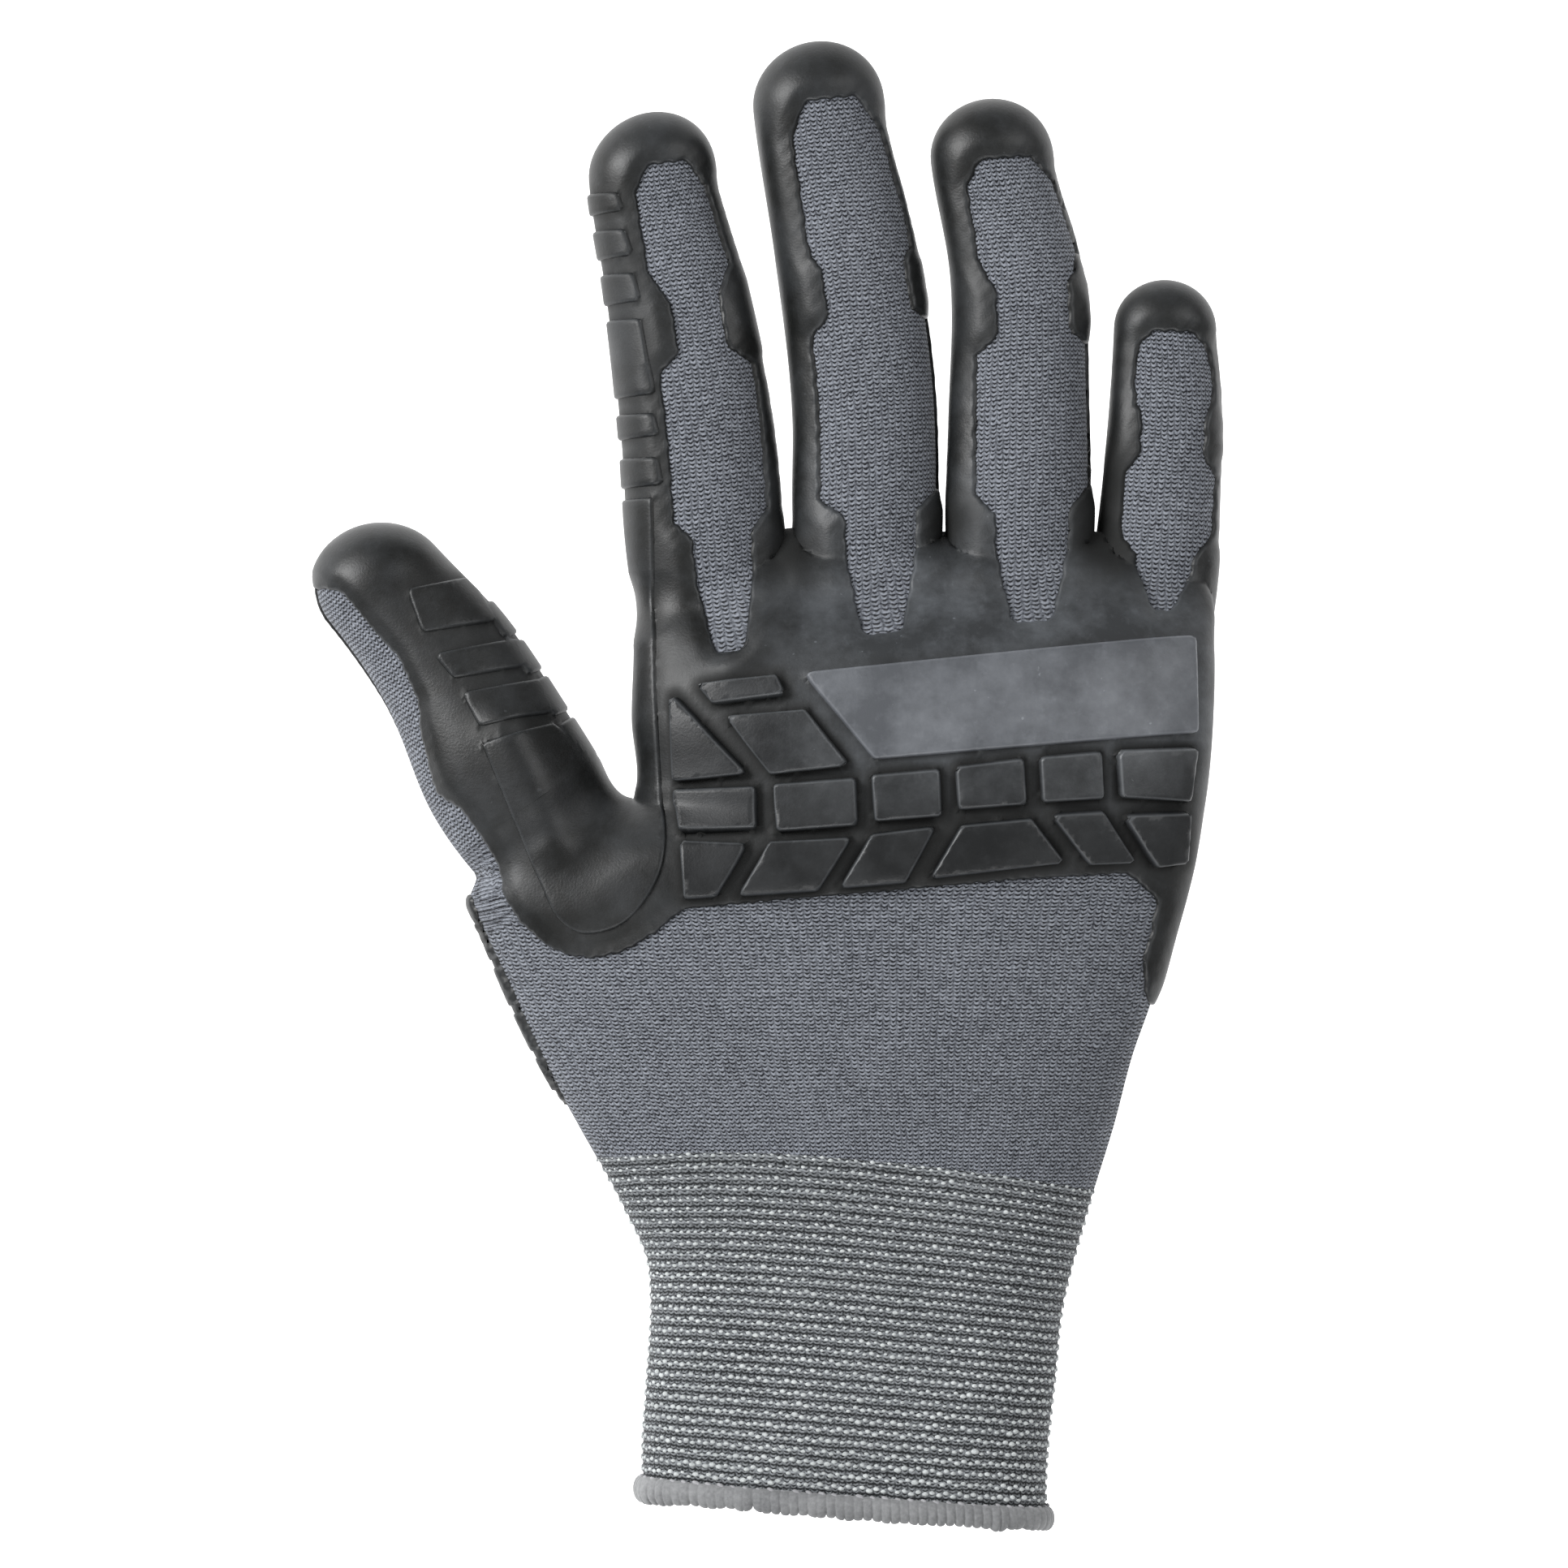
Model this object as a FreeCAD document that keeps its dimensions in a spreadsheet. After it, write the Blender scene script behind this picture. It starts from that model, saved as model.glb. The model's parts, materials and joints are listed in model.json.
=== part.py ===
"""Right-hand coated work glove, lying palm down: a knitted liner under a moulded rubber overlay.

Frame, in millimetres: +X towards the little finger, +Y towards the fingertips, +Z out of the back of the hand.
The origin is the middle of the glove's outline, on the surface that the palm's tread rests on.
Every digit is a row of tubes that meet at its folds. Each fold turns about the rubber on the palm side, which
keeps its length, while the knit over the knuckle stretches.
"""

import FreeCAD, Part
import math
import os

import Sketcher

# Centre and outer width of each digit at its stations, from the hand outwards: x, y, width.
DIGITS = {
    "index": {
        "root": (-10.4, 31.3, 26.0),
        "base": (-10.9, 43.0, 26.4),
        "mid": (-12.0, 57.5, 26.0),
        "tip": (-16.0, 84.0, 23.6),
        "end": (-20.4, 112.3, 0.0),
    },
    "middle": {
        "root": (16.3, 31.3, 25.8),
        "base": (16.6, 47.0, 25.8),
        "mid": (16.4, 62.5, 25.6),
        "tip": (13.0, 90.0, 24.2),
        "end": (7.4, 124.8, 0.0),
    },
    "ring": {
        "root": (42.3, 31.3, 24.4),
        "base": (42.5, 47.0, 24.6),
        "mid": (42.6, 61.0, 24.4),
        "tip": (42.0, 86.5, 22.4),
        "end": (36.9, 115.0, 0.0),
    },
    "little": {
        "root": (65.1, 31.3, 19.6),
        "base": (65.8, 37.5, 20.2),
        "mid": (66.6, 48.5, 20.4),
        "tip": (67.4, 65.0, 18.6),
        "end": (67.4, 84.3, 0.0),
    },
    "thumb": {
        "root": (-37.4, -14.0, 32.0),
        "base": (-45.3, 2.0, 28.6),
        "tip": (-54.8, 21.5, 25.0),
        "end": (-72.4, 41.0, 0.0),
    },
}

# Cross-sections of the hand and cuff tubes, each a flat oval: left edge, right edge, bottom, top.
OVALS = {
    "cuff_foot": (-21.6, 47.2, 1.4, 30.4),
    "cuff_waist": (-20.8, 50.4, 1.6, 30.6),
    "wrist": (-25.0, 54.0, 1.4, 31.0),
    "heel": (-36.0, 60.0, 1.4, 32.0),
    "thumb_foot": (-46.0, 67.0, 1.4, 32.0),
    "crotch_low": (-56.6, 73.2, 1.4, 32.0),
    "crotch_high": (-22.6, 73.2, 1.4, 32.0),
    "knuckle": (-23.4, 75.2, 1.4, 32.0),
    "web": (-23.6, 75.2, 1.4, 25.5),
}

SIZES = {
    "knit_wall": 1.0,
    "rubber_wall": 1.2,
    "layer_gap": 0.05,
    "fold_gap": 0.3,
    "finger_flatness": 0.8,
    "thumb_flatness": 0.86,
    "finger_rise": 0.4,
    "hem_foot_y": -125.0,
    "cuff_foot_y": -118.5,
    "cuff_waist_y": -88.0,
    "wrist_y": -72.0,
    "heel_y": -52.0,
    "thumb_foot_y": -33.0,
    "crotch_y": -6.0,
    "knuckle_y": 24.0,
    "web_y": 31.0,
    "web_wall": 1.6,
    "wrist_half_turn": 14.0,
    "wrist_pivot_z": 16.2,
    "side_rubber_top": 13.0,
    "pad_wall": 1.4,
    "block_height": 1.8,
    "bar_height": 1.4,
    "saddle_height": 2.0,
    "side_block_height": 1.4,
    "hem_wall": 2.6,
    "elastic_thickness": 0.4,
    "elastic_clearance": 0.1,
    "tread_height": 1.3,
}

# How a fingertip closes: share of the tip's length, share of its width there.
TIP_PROFILE = ((0.0, 1.0), (0.45, 0.95), (0.75, 0.83), (0.92, 0.56), (1.0, 0.2))
# The knit window over the back of a finger, as a share of the segment's width.
FINGER_WINDOWS = {"root": 0.5, "base": 0.62, "mid": 0.56, "tip": 0.6}
TIP_WINDOW_SHARE = 0.6  # of the tip's length

# The knuckle pad's rows of tread blocks. A row has the heights of its lower and upper edges over x = 0, and
# each block the x of its corners along them: low left, low right, high left, high right.
PAD_TILT = 0.07  # rise of a row for each millimetre towards the little finger
PAD_ROWS = (
    (
        (-9.3, -1.2),
        (
            (-15.0, -2.0, -15.0, -2.0),
            (1.5, 15.0, 1.0, 14.5),
            (17.5, 29.0, 17.0, 28.5),
            (31.5, 43.0, 31.0, 42.5),
            (45.5, 55.5, 45.0, 55.0),
            (58.0, 67.0, 57.5, 67.5),
        ),
    ),
    (
        (-19.5, -11.3),
        (
            (-14.0, -9.0, -15.0, -3.5),
            (-5.5, 8.0, 0.0, 14.0),
            (11.5, 23.0, 17.0, 28.0),
            (26.5, 49.5, 32.0, 43.5),
            (52.5, 61.0, 46.5, 55.5),
            (63.5, 67.0, 58.5, 67.0),
        ),
    ),
)
PAD_CORNER_BLOCKS = (
    ((-9.0, 12.0), (3.0, 13.5), (1.5, 16.5), (-12.0, 15.0)),
    ((0.5, 0.8), (13.5, 2.0), (6.0, 11.0), (-7.0, 10.0)),
    ((-15.0, 0.6), (-3.5, 0.6), (-15.5, 13.0)),
)
BAR_OUTLINE = ((17.5, 3.6), (70.0, 7.5), (70.0, 22.5), (5.5, 17.0), (9.0, 13.0))
PAD_OUTLINE = ((-15.0, -21.0), (68.5, -15.5), (71.5, 23.0), (-16.2, 17.0))
SADDLE_OUTLINE = ((-19.6, 28.0), (-19.6, -17.0), (-30.0, -24.5), (-29.0, -27.5), (-16.6, -19.5), (-16.6, 28.0))

# Raised pads as lengths along their segment from its start: low, high.
THUMB_BASE_PADS = ((4.5, 10.0), (12.5, 17.5))
THUMB_TIP_PADS = ((3.0, 10.5),)
INDEX_SIDE_BLOCKS = {
    "base": ((2.0, 6.5), (8.0, 12.5)),
    "mid": ((1.5, 6.0), (9.0, 21.5)),
    "tip": ((2.0, 6.5), (8.5, 12.5), (14.5, 18.0)),
}

# The palm's grip tread: the left end, right end and middle y of each row of blocks.
TREAD_ROWS = ((-16.0, 66.0, 18.0), (-16.0, 66.0, 6.0), (-16.0, 64.0, -6.0))
TREAD_ROWS += ((-22.0, 58.0, -18.0), (-24.0, 52.0, -30.0), (-18.0, 46.0, -42.0))
TREAD_BLOCKS_PER_ROW = 5
TREAD_ROW_DEPTH = 9.0
TREAD_GAP = 2.4

ELASTIC_ROWS = 20
ELASTIC_WIDTH = 0.8
ELASTIC_MARGIN = 2.0  # from the cuff's knit edges to the first and last thread

FAR = 400.0  # longer than the glove, for tools that cut all the way through
SMALLEST_CUT = 1.0  # mm3: a cut that takes less has missed

KNIT_INSET = "Sizes.rubber_wall + Sizes.layer_gap"
CAVITY_INSET = f"{KNIT_INSET} + Sizes.knit_wall"

SHOWN = []  # the objects that are written as sub-parts, in order

doc = FreeCAD.newDocument("WorkGlove")
sheet = doc.addObject("Spreadsheet::Sheet", "Sizes")


# ---------------------------------------------------------------- sizes


def lean(start, end):
    """Degrees that the line between two stations leans to the left of +Y."""
    return math.degrees(math.atan2(start[0] - end[0], end[1] - start[1]))


def digit_cells(digit, stations):
    """A digit's cells: each station's place and width, and each segment's length, lean and end-face turn."""
    cells = {}
    names = list(stations)
    before = 0.0
    for name, after in zip(names, names[1:]):
        here, there = stations[name], stations[after]
        cells[f"{digit}_{name}_x"], cells[f"{digit}_{name}_y"], cells[f"{digit}_{name}_width"] = here
        cells[f"{digit}_{name}_length"] = math.dist(here[:2], there[:2])
        cells[f"{digit}_{name}_lean"] = lean(here, there)
        on_hand = name == "root" and digit != "thumb"
        cells[f"{digit}_{name}_turn"] = 0.0 if on_hand else (before + lean(here, there)) / 2
        before = lean(here, there)
        if name == "root" and digit == "thumb":
            cells["thumb_root_turn"] = before
    return cells


def fill_sheet():
    """Writes every driving dimension into the spreadsheet, one alias to a row."""
    cells = dict(SIZES)
    for name, edges in OVALS.items():
        for part, value in zip(("left", "right", "bottom", "top"), edges):
            cells[f"{name}_{part}"] = value
    for digit, stations in DIGITS.items():
        cells.update(digit_cells(digit, stations))
    for row, (alias, value) in enumerate(cells.items(), start=1):
        sheet.set(f"A{row}", alias)
        sheet.set(f"B{row}", f"{value:.4f}")
        sheet.setAlias(f"B{row}", alias)
    doc.recompute()


def size(alias):
    """The number that the spreadsheet holds under an alias."""
    return float(sheet.get(alias))


def show(obj, label):
    """Marks an object as a sub-part under its node name."""
    obj.Label = label
    SHOWN.append(obj)


def add(kind, name, **links):
    """A document object with its properties set: text is an expression, anything else a value."""
    obj = doc.addObject(kind, name)
    for key, value in links.items():
        if isinstance(value, str):
            obj.setExpression(key, value)
        else:
            setattr(obj, key, value)
    return obj


def cut(name, base, tool):
    """base without tool."""
    return add("Part::Cut", name, Base=base, Tool=tool)


def common(name, base, tool):
    """What base and tool share."""
    return add("Part::Common", name, Base=base, Tool=tool)


def fuse(name, shapes):
    """Several objects joined."""
    return add("Part::MultiFuse", name, Shapes=shapes)


# ---------------------------------------------------------------- digits


def flatness(digit):
    """The cell that holds a digit's height as a share of its width."""
    return "Sizes.thumb_flatness" if digit == "thumb" else "Sizes.finger_flatness"


def spot(x, y, z, turn, tilt):
    """A Placement expression: at x, y, z, tipped by tilt about X and then turned about Z."""
    here = f"create(<<vector>>; {x}; {y}; {z})"
    about_z = f"create(<<rotation>>; create(<<vector>>; 0; 0; 1); {turn})"
    about_x = f"create(<<rotation>>; create(<<vector>>; 1; 0; 0); {tilt})"
    return f"create(<<placement>>; {here}; {about_z} * {about_x})"


def ring(name, digit, station, along, share, inset, turn_cell):
    """An ellipse across a digit, a distance along from a station, share of the width there, less the inset."""
    cell = f"Sizes.{digit}_{station}"
    turn = f"{cell}_{turn_cell}"
    x = f"{cell}_x - sin({turn} * 1 deg) * ({along})"
    y = f"{cell}_y + cos({turn} * 1 deg) * ({along})"
    z = f"Sizes.finger_rise + {cell}_width * {flatness(digit)} / 2"
    return add(
        "Part::Ellipse",
        name,
        MajorRadius=f"({cell}_width / 2 - ({inset})) * {share}",
        MinorRadius=f"({cell}_width * {flatness(digit)} / 2 - ({inset})) * {share}",
        Placement=spot(x, y, z, turn, 90),
    )


def digit_form(label, digit, name, after, inset):
    """A segment's solid form, inset from its outer surface: a tapered tube, or a closed tip."""
    start = ring(f"{label}_start", digit, name, "Sizes.fold_gap / 2", 1, inset, "turn")
    if after != "end":
        rings = [start, ring(f"{label}_end", digit, after, "-Sizes.fold_gap / 2", 1, inset, "turn")]
        return add("Part::Loft", label, Sections=rings, Solid=True, Ruled=True)
    rings = [start]
    for k, (along, share) in enumerate(TIP_PROFILE[1:]):
        reach = f"(Sizes.{digit}_{name}_length - ({inset})) * {along}"
        rings.append(ring(f"{label}_close{k}", digit, name, reach, share, inset, "lean"))
    return add("Part::Loft", label, Sections=rings, Solid=True)


def layer(label, digit, name, after, outside, inside):
    """The wall between two insets of a segment."""
    outer = digit_form(f"{label}_outer", digit, name, after, outside)
    return cut(label, outer, digit_form(f"{label}_inner", digit, name, after, inside))


def segment_block(label, digit, name, left, right, low, high, bottom):
    """A block in a segment's own frame: left to right across it, low to high along it, upwards from bottom."""
    cell = f"Sizes.{digit}_{name}"
    turn = f"{cell}_lean"
    across, along = f"({left})", f"({low})"
    x = f"{cell}_x + cos({turn} * 1 deg) * {across} - sin({turn} * 1 deg) * {along}"
    y = f"{cell}_y + sin({turn} * 1 deg) * {across} + cos({turn} * 1 deg) * {along}"
    return add(
        "Part::Box",
        label,
        Length=f"({right}) - ({left})",
        Width=f"({high}) - ({low})",
        Height=f"{FAR / 10}",
        Placement=spot(x, y, bottom, turn, 0),
    )


def window(digit, name):
    """The block that opens a segment's rubber: over the back of a finger, or down the thumb's outer side."""
    width, length = f"Sizes.{digit}_{name}_width", f"Sizes.{digit}_{name}_length"
    high = f"{length} * {TIP_WINDOW_SHARE}" if name == "tip" else f"{length} + 5"
    if digit == "thumb":
        left, right, share = f"-{width}", f"-{width} * 0.24", 0.3
    else:
        half = f"{width} * {FINGER_WINDOWS[name]} / 2"
        left, right, share = f"-{half}", half, 0.5
    bottom = f"Sizes.finger_rise + {width} * {flatness(digit)} * {share}"
    return segment_block(f"{digit}_{name}_window", digit, name, left, right, "-5", high, bottom)


def build_digit(digit):
    """The knit tube and the rubber round it, for each segment of a digit."""
    names = list(DIGITS[digit])
    for name, after in zip(names, names[1:]):
        knit = layer(f"{digit}_{name}_knit_wall", digit, name, after, KNIT_INSET, CAVITY_INSET)
        rubber = layer(f"{digit}_{name}_rubber_wall", digit, name, after, "0", "Sizes.rubber_wall")
        if (digit, name) == ("thumb", "root"):
            knit = cut("thumb_root_knit_foot", knit, thumb_foot_tool("knit_foot_tool"))
            rubber = cut("thumb_root_rubber_foot", rubber, thumb_foot_tool("rubber_foot_tool"))
        show(knit, f"{digit}_{name}_knit")
        show(cut(f"{digit}_{name}_cover", rubber, window(digit, name)), f"{digit}_{name}_rubber")


def thumb_foot_tool(name):
    """The block below the thumb's crotch, where the thumb opens into the hand."""
    tool = add("Part::Box", name, Length=FAR, Width=FAR, Height=FAR)
    tool.Placement = FreeCAD.Placement(FreeCAD.Vector(-FAR / 2, 0, -FAR / 2), FreeCAD.Rotation())
    tool.setExpression("Placement.Base.y", f"Sizes.crotch_y + Sizes.fold_gap - {FAR}")
    return tool


def raised_pads(label, digit, name, after, spans, left, right, share):
    """Raised blocks that follow a segment's surface, at spans along it, between two shares of its width."""
    outside, inside = "-Sizes.side_block_height", "-Sizes.layer_gap"
    skin = layer(f"{label}_skin", digit, name, after, outside, inside)
    width = f"Sizes.{digit}_{name}_width"
    bottom = f"Sizes.finger_rise + {width} * {flatness(digit)} * {share}"
    sides = f"{width} * {left}", f"{width} * {right}"
    blocks = [
        segment_block(f"{label}_block{k}", digit, name, *sides, low, high, bottom)
        for k, (low, high) in enumerate(spans)
    ]
    tool = fuse(f"{label}_blocks", blocks) if len(blocks) > 1 else blocks[0]
    show(common(f"{label}_raised", skin, tool), label)


def build_raised_pads():
    """The thumb's back pads and the tread blocks down the index finger's outer side."""
    raised_pads("thumb_base_pads", "thumb", "base", "tip", THUMB_BASE_PADS, -0.2, 0.36, 0.6)
    raised_pads("thumb_tip_pad", "thumb", "tip", "end", THUMB_TIP_PADS, -0.2, 0.34, 0.6)
    names = list(DIGITS["index"])
    for name, spans in INDEX_SIDE_BLOCKS.items():
        after = names[names.index(name) + 1]
        raised_pads(f"index_{name}_side_blocks", "index", name, after, spans, -0.8, -0.3, 0.35)


# ---------------------------------------------------------------- hand and cuff


def plane_of(body, role):
    """One of a body's own origin planes."""
    return next(o for o in body.Origin.OriginFeatures if o.Role == role)


def oval_sketch(body, name, y, inset, edges):
    """A sketch of a flat oval across the hand at y, inset on all sides. edges: left, right, bottom, top."""
    left, right, bottom, top = edges
    sketch = body.newObject("Sketcher::SketchObject", name)
    sketch.AttachmentSupport = (plane_of(body, "XZ_Plane"), "")
    sketch.MapMode = "FlatFace"
    sketch.setExpression("AttachmentOffset.Base.z", f"-({y})")
    near, far, height, radius = -10.0, 10.0, 12.0, 8.0  # a first guess, which the constraints below replace
    up = FreeCAD.Vector(0, 0, 1)
    for level in (height + radius, height - radius):
        ends = FreeCAD.Vector(near, level, 0), FreeCAD.Vector(far, level, 0)
        sketch.addGeometry(Part.LineSegment(*ends))
    left_circle = Part.Circle(FreeCAD.Vector(near, height, 0), up, radius)
    right_circle = Part.Circle(FreeCAD.Vector(far, height, 0), up, radius)
    sketch.addGeometry(Part.ArcOfCircle(left_circle, math.pi / 2, 3 * math.pi / 2))
    sketch.addGeometry(Part.ArcOfCircle(right_circle, -math.pi / 2, math.pi / 2))
    for constraint in (
        Sketcher.Constraint("Tangent", 0, 1, 2, 1),
        Sketcher.Constraint("Tangent", 1, 1, 2, 2),
        Sketcher.Constraint("Tangent", 0, 2, 3, 2),
        Sketcher.Constraint("Tangent", 1, 2, 3, 1),
        Sketcher.Constraint("Horizontal", 0),
        Sketcher.Constraint("Horizontal", 1),
        Sketcher.Constraint("DistanceX", -1, 1, 2, 3, near),
        Sketcher.Constraint("DistanceX", -1, 1, 3, 3, far),
        Sketcher.Constraint("DistanceY", -1, 1, 2, 3, height),
        Sketcher.Constraint("Radius", 2, radius),
    ):
        last = sketch.addConstraint(constraint)
    for k, alias in zip(range(last - 3, last + 1), ("left_centre", "right_centre", "height", "radius")):
        sketch.renameConstraint(k, alias)
    half = f"(({top}) - ({bottom})) / 2"
    sketch.setExpression("Constraints.left_centre", f"{left} + {half}")
    sketch.setExpression("Constraints.right_centre", f"{right} - {half}")
    sketch.setExpression("Constraints.height", f"{bottom} + {half}")
    sketch.setExpression("Constraints.radius", f"{half} - ({inset})")
    return sketch


def oval_cells(name):
    """The four cells of one of the ovals."""
    return tuple(f"Sizes.{name}_{part}" for part in ("left", "right", "bottom", "top"))


def loft_between(body, kind, name, sketches):
    """An additive or subtractive loft through sketches, with straight sides."""
    loft = body.newObject(f"PartDesign::{kind}Loft", name)
    loft.Profile = sketches[0]
    loft.Sections = sketches[1:]
    loft.Ruled = True
    doc.recompute()


def tube(name, stations, outside, inside, inner_end=None):
    """A body lofted through ovals at (oval, y) stations and hollowed. inner_end stops the hollow short."""
    body = doc.addObject("PartDesign::Body", name)
    outer = [oval_sketch(body, f"{name}_out{k}", y, outside, oval_cells(n)) for k, (n, y) in enumerate(stations)]
    loft_between(body, "Additive", f"{name}_form", outer)
    hollow = stations[:-1] + [(stations[-1][0], inner_end or stations[-1][1])]
    inner = [oval_sketch(body, f"{name}_in{k}", y, inside, oval_cells(n)) for k, (n, y) in enumerate(hollow)]
    loft_between(body, "Subtractive", f"{name}_hollow", inner)
    return body


def trace(sketch, corners):
    """Adds one closed outline to a sketch and pins its corners."""
    first = sketch.GeometryCount
    points = [FreeCAD.Vector(u, v, 0) for u, v in corners]
    for start, end in zip(points, points[1:] + points[:1]):
        sketch.addGeometry(Part.LineSegment(start, end))
    for k, point in enumerate(points):
        line = first + k
        sketch.addConstraint(Sketcher.Constraint("Coincident", line, 2, first + (k + 1) % len(points), 1))
        sketch.addConstraint(Sketcher.Constraint("DistanceX", -1, 1, line, 1, point.x))
        sketch.addConstraint(Sketcher.Constraint("DistanceY", -1, 1, line, 1, point.y))


def pocket(body, name, outlines):
    """Cuts outlines on the body's side plane, in y and z, right across it, and checks that they took material."""
    sketch = body.newObject("Sketcher::SketchObject", name)
    sketch.AttachmentSupport = (plane_of(body, "YZ_Plane"), "")
    sketch.MapMode = "FlatFace"
    for outline in outlines:
        trace(sketch, outline)
    before = body.Shape.Volume
    feature = body.newObject("PartDesign::Pocket", f"{name}_pocket")
    feature.Profile = sketch
    feature.Length = FAR
    feature.Midplane = True
    doc.recompute()
    if body.Shape.Volume > before - SMALLEST_CUT:
        raise RuntimeError(f"{name} cut nothing from {body.Name}")


def relieve_wrist(body, side, ways=(1, -1)):
    """Slopes a tube's end back from the wrist's axis, so that it can tip. side: +1 the hand's, -1 the cuff's."""
    y, z = size("wrist_y"), size("wrist_pivot_z")
    slope = math.tan(math.radians(size("wrist_half_turn")))
    gap = side * size("fold_gap") / 2
    reach = 30.0
    for way in ways:
        far_z = z + way * reach
        near, far = y + gap, y + gap + side * slope * reach
        back = y - side * reach
        name = f"{body.Name}_relief_{'over' if way > 0 else 'under'}"
        pocket(body, name, [((near, z), (far, far_z), (back, far_z), (back, z))])


def open_web(body, digit):
    """The hole in the front of the hand that a finger opens into."""
    centre, width = f"Sizes.{digit}_root_x", f"Sizes.{digit}_root_width"
    top = f"Sizes.finger_rise + {width} * Sizes.finger_flatness"
    edges = (f"{centre} - {width} / 2", f"{centre} + {width} / 2", "Sizes.finger_rise", top)
    sketch = oval_sketch(body, f"{digit}_hole", "Sizes.web_y", CAVITY_INSET, edges)
    before = body.Shape.Volume
    feature = body.newObject("PartDesign::Pocket", f"{digit}_hole_pocket")
    feature.Profile = sketch
    feature.Midplane = True
    feature.setExpression("Length", "Sizes.web_wall * 2 + 1")
    doc.recompute()
    if body.Shape.Volume > before - SMALLEST_CUT:
        raise RuntimeError(f"no hole for the {digit} finger")


LOWER_HAND = [
    ("wrist", "Sizes.wrist_y"),
    ("heel", "Sizes.heel_y"),
    ("thumb_foot", "Sizes.thumb_foot_y"),
    ("crotch_low", "Sizes.crotch_y"),
]
UPPER_HAND = [
    ("crotch_high", "Sizes.crotch_y + Sizes.fold_gap"),
    ("knuckle", "Sizes.knuckle_y"),
    ("web", "Sizes.web_y"),
]


def build_hand():
    """The liner's two hand tubes, below and above the thumb's crotch, and the rubber round each."""
    lower = tube("lower_hand_liner", LOWER_HAND, KNIT_INSET, CAVITY_INSET)
    relieve_wrist(lower, 1)
    show(lower, "lower_hand_knit")
    upper = tube("upper_hand_liner", UPPER_HAND, KNIT_INSET, CAVITY_INSET, "Sizes.web_y - Sizes.web_wall")
    for digit in DIGITS:
        if digit != "thumb":
            open_web(upper, digit)
    show(upper, "upper_hand_knit")
    tray = tube("heel_tray", LOWER_HAND, "0", "Sizes.rubber_wall")
    relieve_wrist(tray, 1, ways=(-1,))
    top = size("side_rubber_top")
    pocket(tray, "tray_top", [((-FAR, top), (FAR, top), (FAR, FAR), (-FAR, FAR))])
    show(tray, "heel_rubber")
    show(tube("palm_band", UPPER_HAND, "0", "Sizes.rubber_wall"), "palm_rubber")


def build_cuff():
    """The knitted cuff, the elastic threads laid round it and the overlocked hem at its mouth."""
    foot, waist = ("cuff_foot", "Sizes.cuff_foot_y"), ("cuff_waist", "Sizes.cuff_waist_y")
    knit = tube("cuff_tube", [foot, waist, ("wrist", "Sizes.wrist_y")], KNIT_INSET, CAVITY_INSET)
    relieve_wrist(knit, -1)
    show(knit, "cuff_knit")
    thread_inset = f"{KNIT_INSET} - Sizes.elastic_clearance"
    threads = tube("elastic_tube", [foot, waist], f"{thread_inset} - Sizes.elastic_thickness", thread_inset)
    low, high = size("cuff_foot_y") + ELASTIC_MARGIN, size("cuff_waist_y") - ELASTIC_MARGIN
    pitch = (high - low) / (ELASTIC_ROWS - 1)
    edges = [size("cuff_foot_y") - 1.0]
    for row in range(ELASTIC_ROWS):
        middle = low + row * pitch
        edges += [middle - ELASTIC_WIDTH / 2, middle + ELASTIC_WIDTH / 2]
    edges.append(size("cuff_waist_y") + 1.0)
    gaps = [((y0, -FAR), (y1, -FAR), (y1, FAR), (y0, FAR)) for y0, y1 in zip(edges[::2], edges[1::2])]
    pocket(threads, "between_threads", gaps)
    show(threads, "cuff_elastic")
    hem = tube(
        "hem_roll",
        [("cuff_foot", "Sizes.hem_foot_y"), ("cuff_foot", "Sizes.cuff_foot_y - Sizes.layer_gap")],
        "0",
        "Sizes.hem_wall",
    )
    show(hem, "cuff_hem")


# ---------------------------------------------------------------- raised rubber on the hand


def on_hand(label, outlines, bottom, height):
    """Raised rubber that follows the back of the hand inside outlines, from bottom above it, height thick."""
    outside, inside = f"-({bottom}) - ({height})", f"-({bottom})"
    sketch = doc.addObject("Sketcher::SketchObject", f"{label}_outline")
    for outline in outlines:
        trace(sketch, outline)
    sketch.setExpression("Placement.Base.z", "Sizes.wrist_pivot_z")
    upright = add("Part::Extrusion", f"{label}_upright", Base=sketch, Solid=True, LengthFwd=FAR)
    upright.DirMode = "Normal"
    above = [("crotch_high", "Sizes.crotch_y")] + UPPER_HAND[1:]
    pieces = []
    for name, stations in (("lower", LOWER_HAND[2:]), ("upper", above)):
        skin = tube(f"{label}_{name}_skin", stations, outside, inside)
        pieces.append(common(f"{label}_{name}", skin, upright))
    doc.recompute()
    pieces = [piece for piece in pieces if piece.Shape.Volume > SMALLEST_CUT]
    show(fuse(f"{label}_whole", pieces) if len(pieces) > 1 else pieces[0], label)


def pad_blocks():
    """The outlines of every tread block on the knuckle pad."""
    outlines = list(PAD_CORNER_BLOCKS)
    for (low, high), blocks in PAD_ROWS:
        for low_left, low_right, high_left, high_right in blocks:
            corners = ((low_left, low), (low_right, low), (high_right, high), (high_left, high))
            outlines.append(tuple((x, y + PAD_TILT * x) for x, y in corners))
    return outlines


def build_raised_hand():
    """The knuckle pad with its blocks and plain bar, and the ridge between thumb and index finger."""
    on_top = "Sizes.pad_wall + Sizes.layer_gap * 2"
    on_hand("knuckle_pad", [PAD_OUTLINE], "Sizes.layer_gap", "Sizes.pad_wall")
    on_hand("knuckle_blocks", pad_blocks(), on_top, "Sizes.block_height")
    on_hand("knuckle_bar", [BAR_OUTLINE], on_top, "Sizes.bar_height")
    on_hand("thumb_saddle", [SADDLE_OUTLINE], "Sizes.layer_gap", "Sizes.saddle_height")


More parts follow.
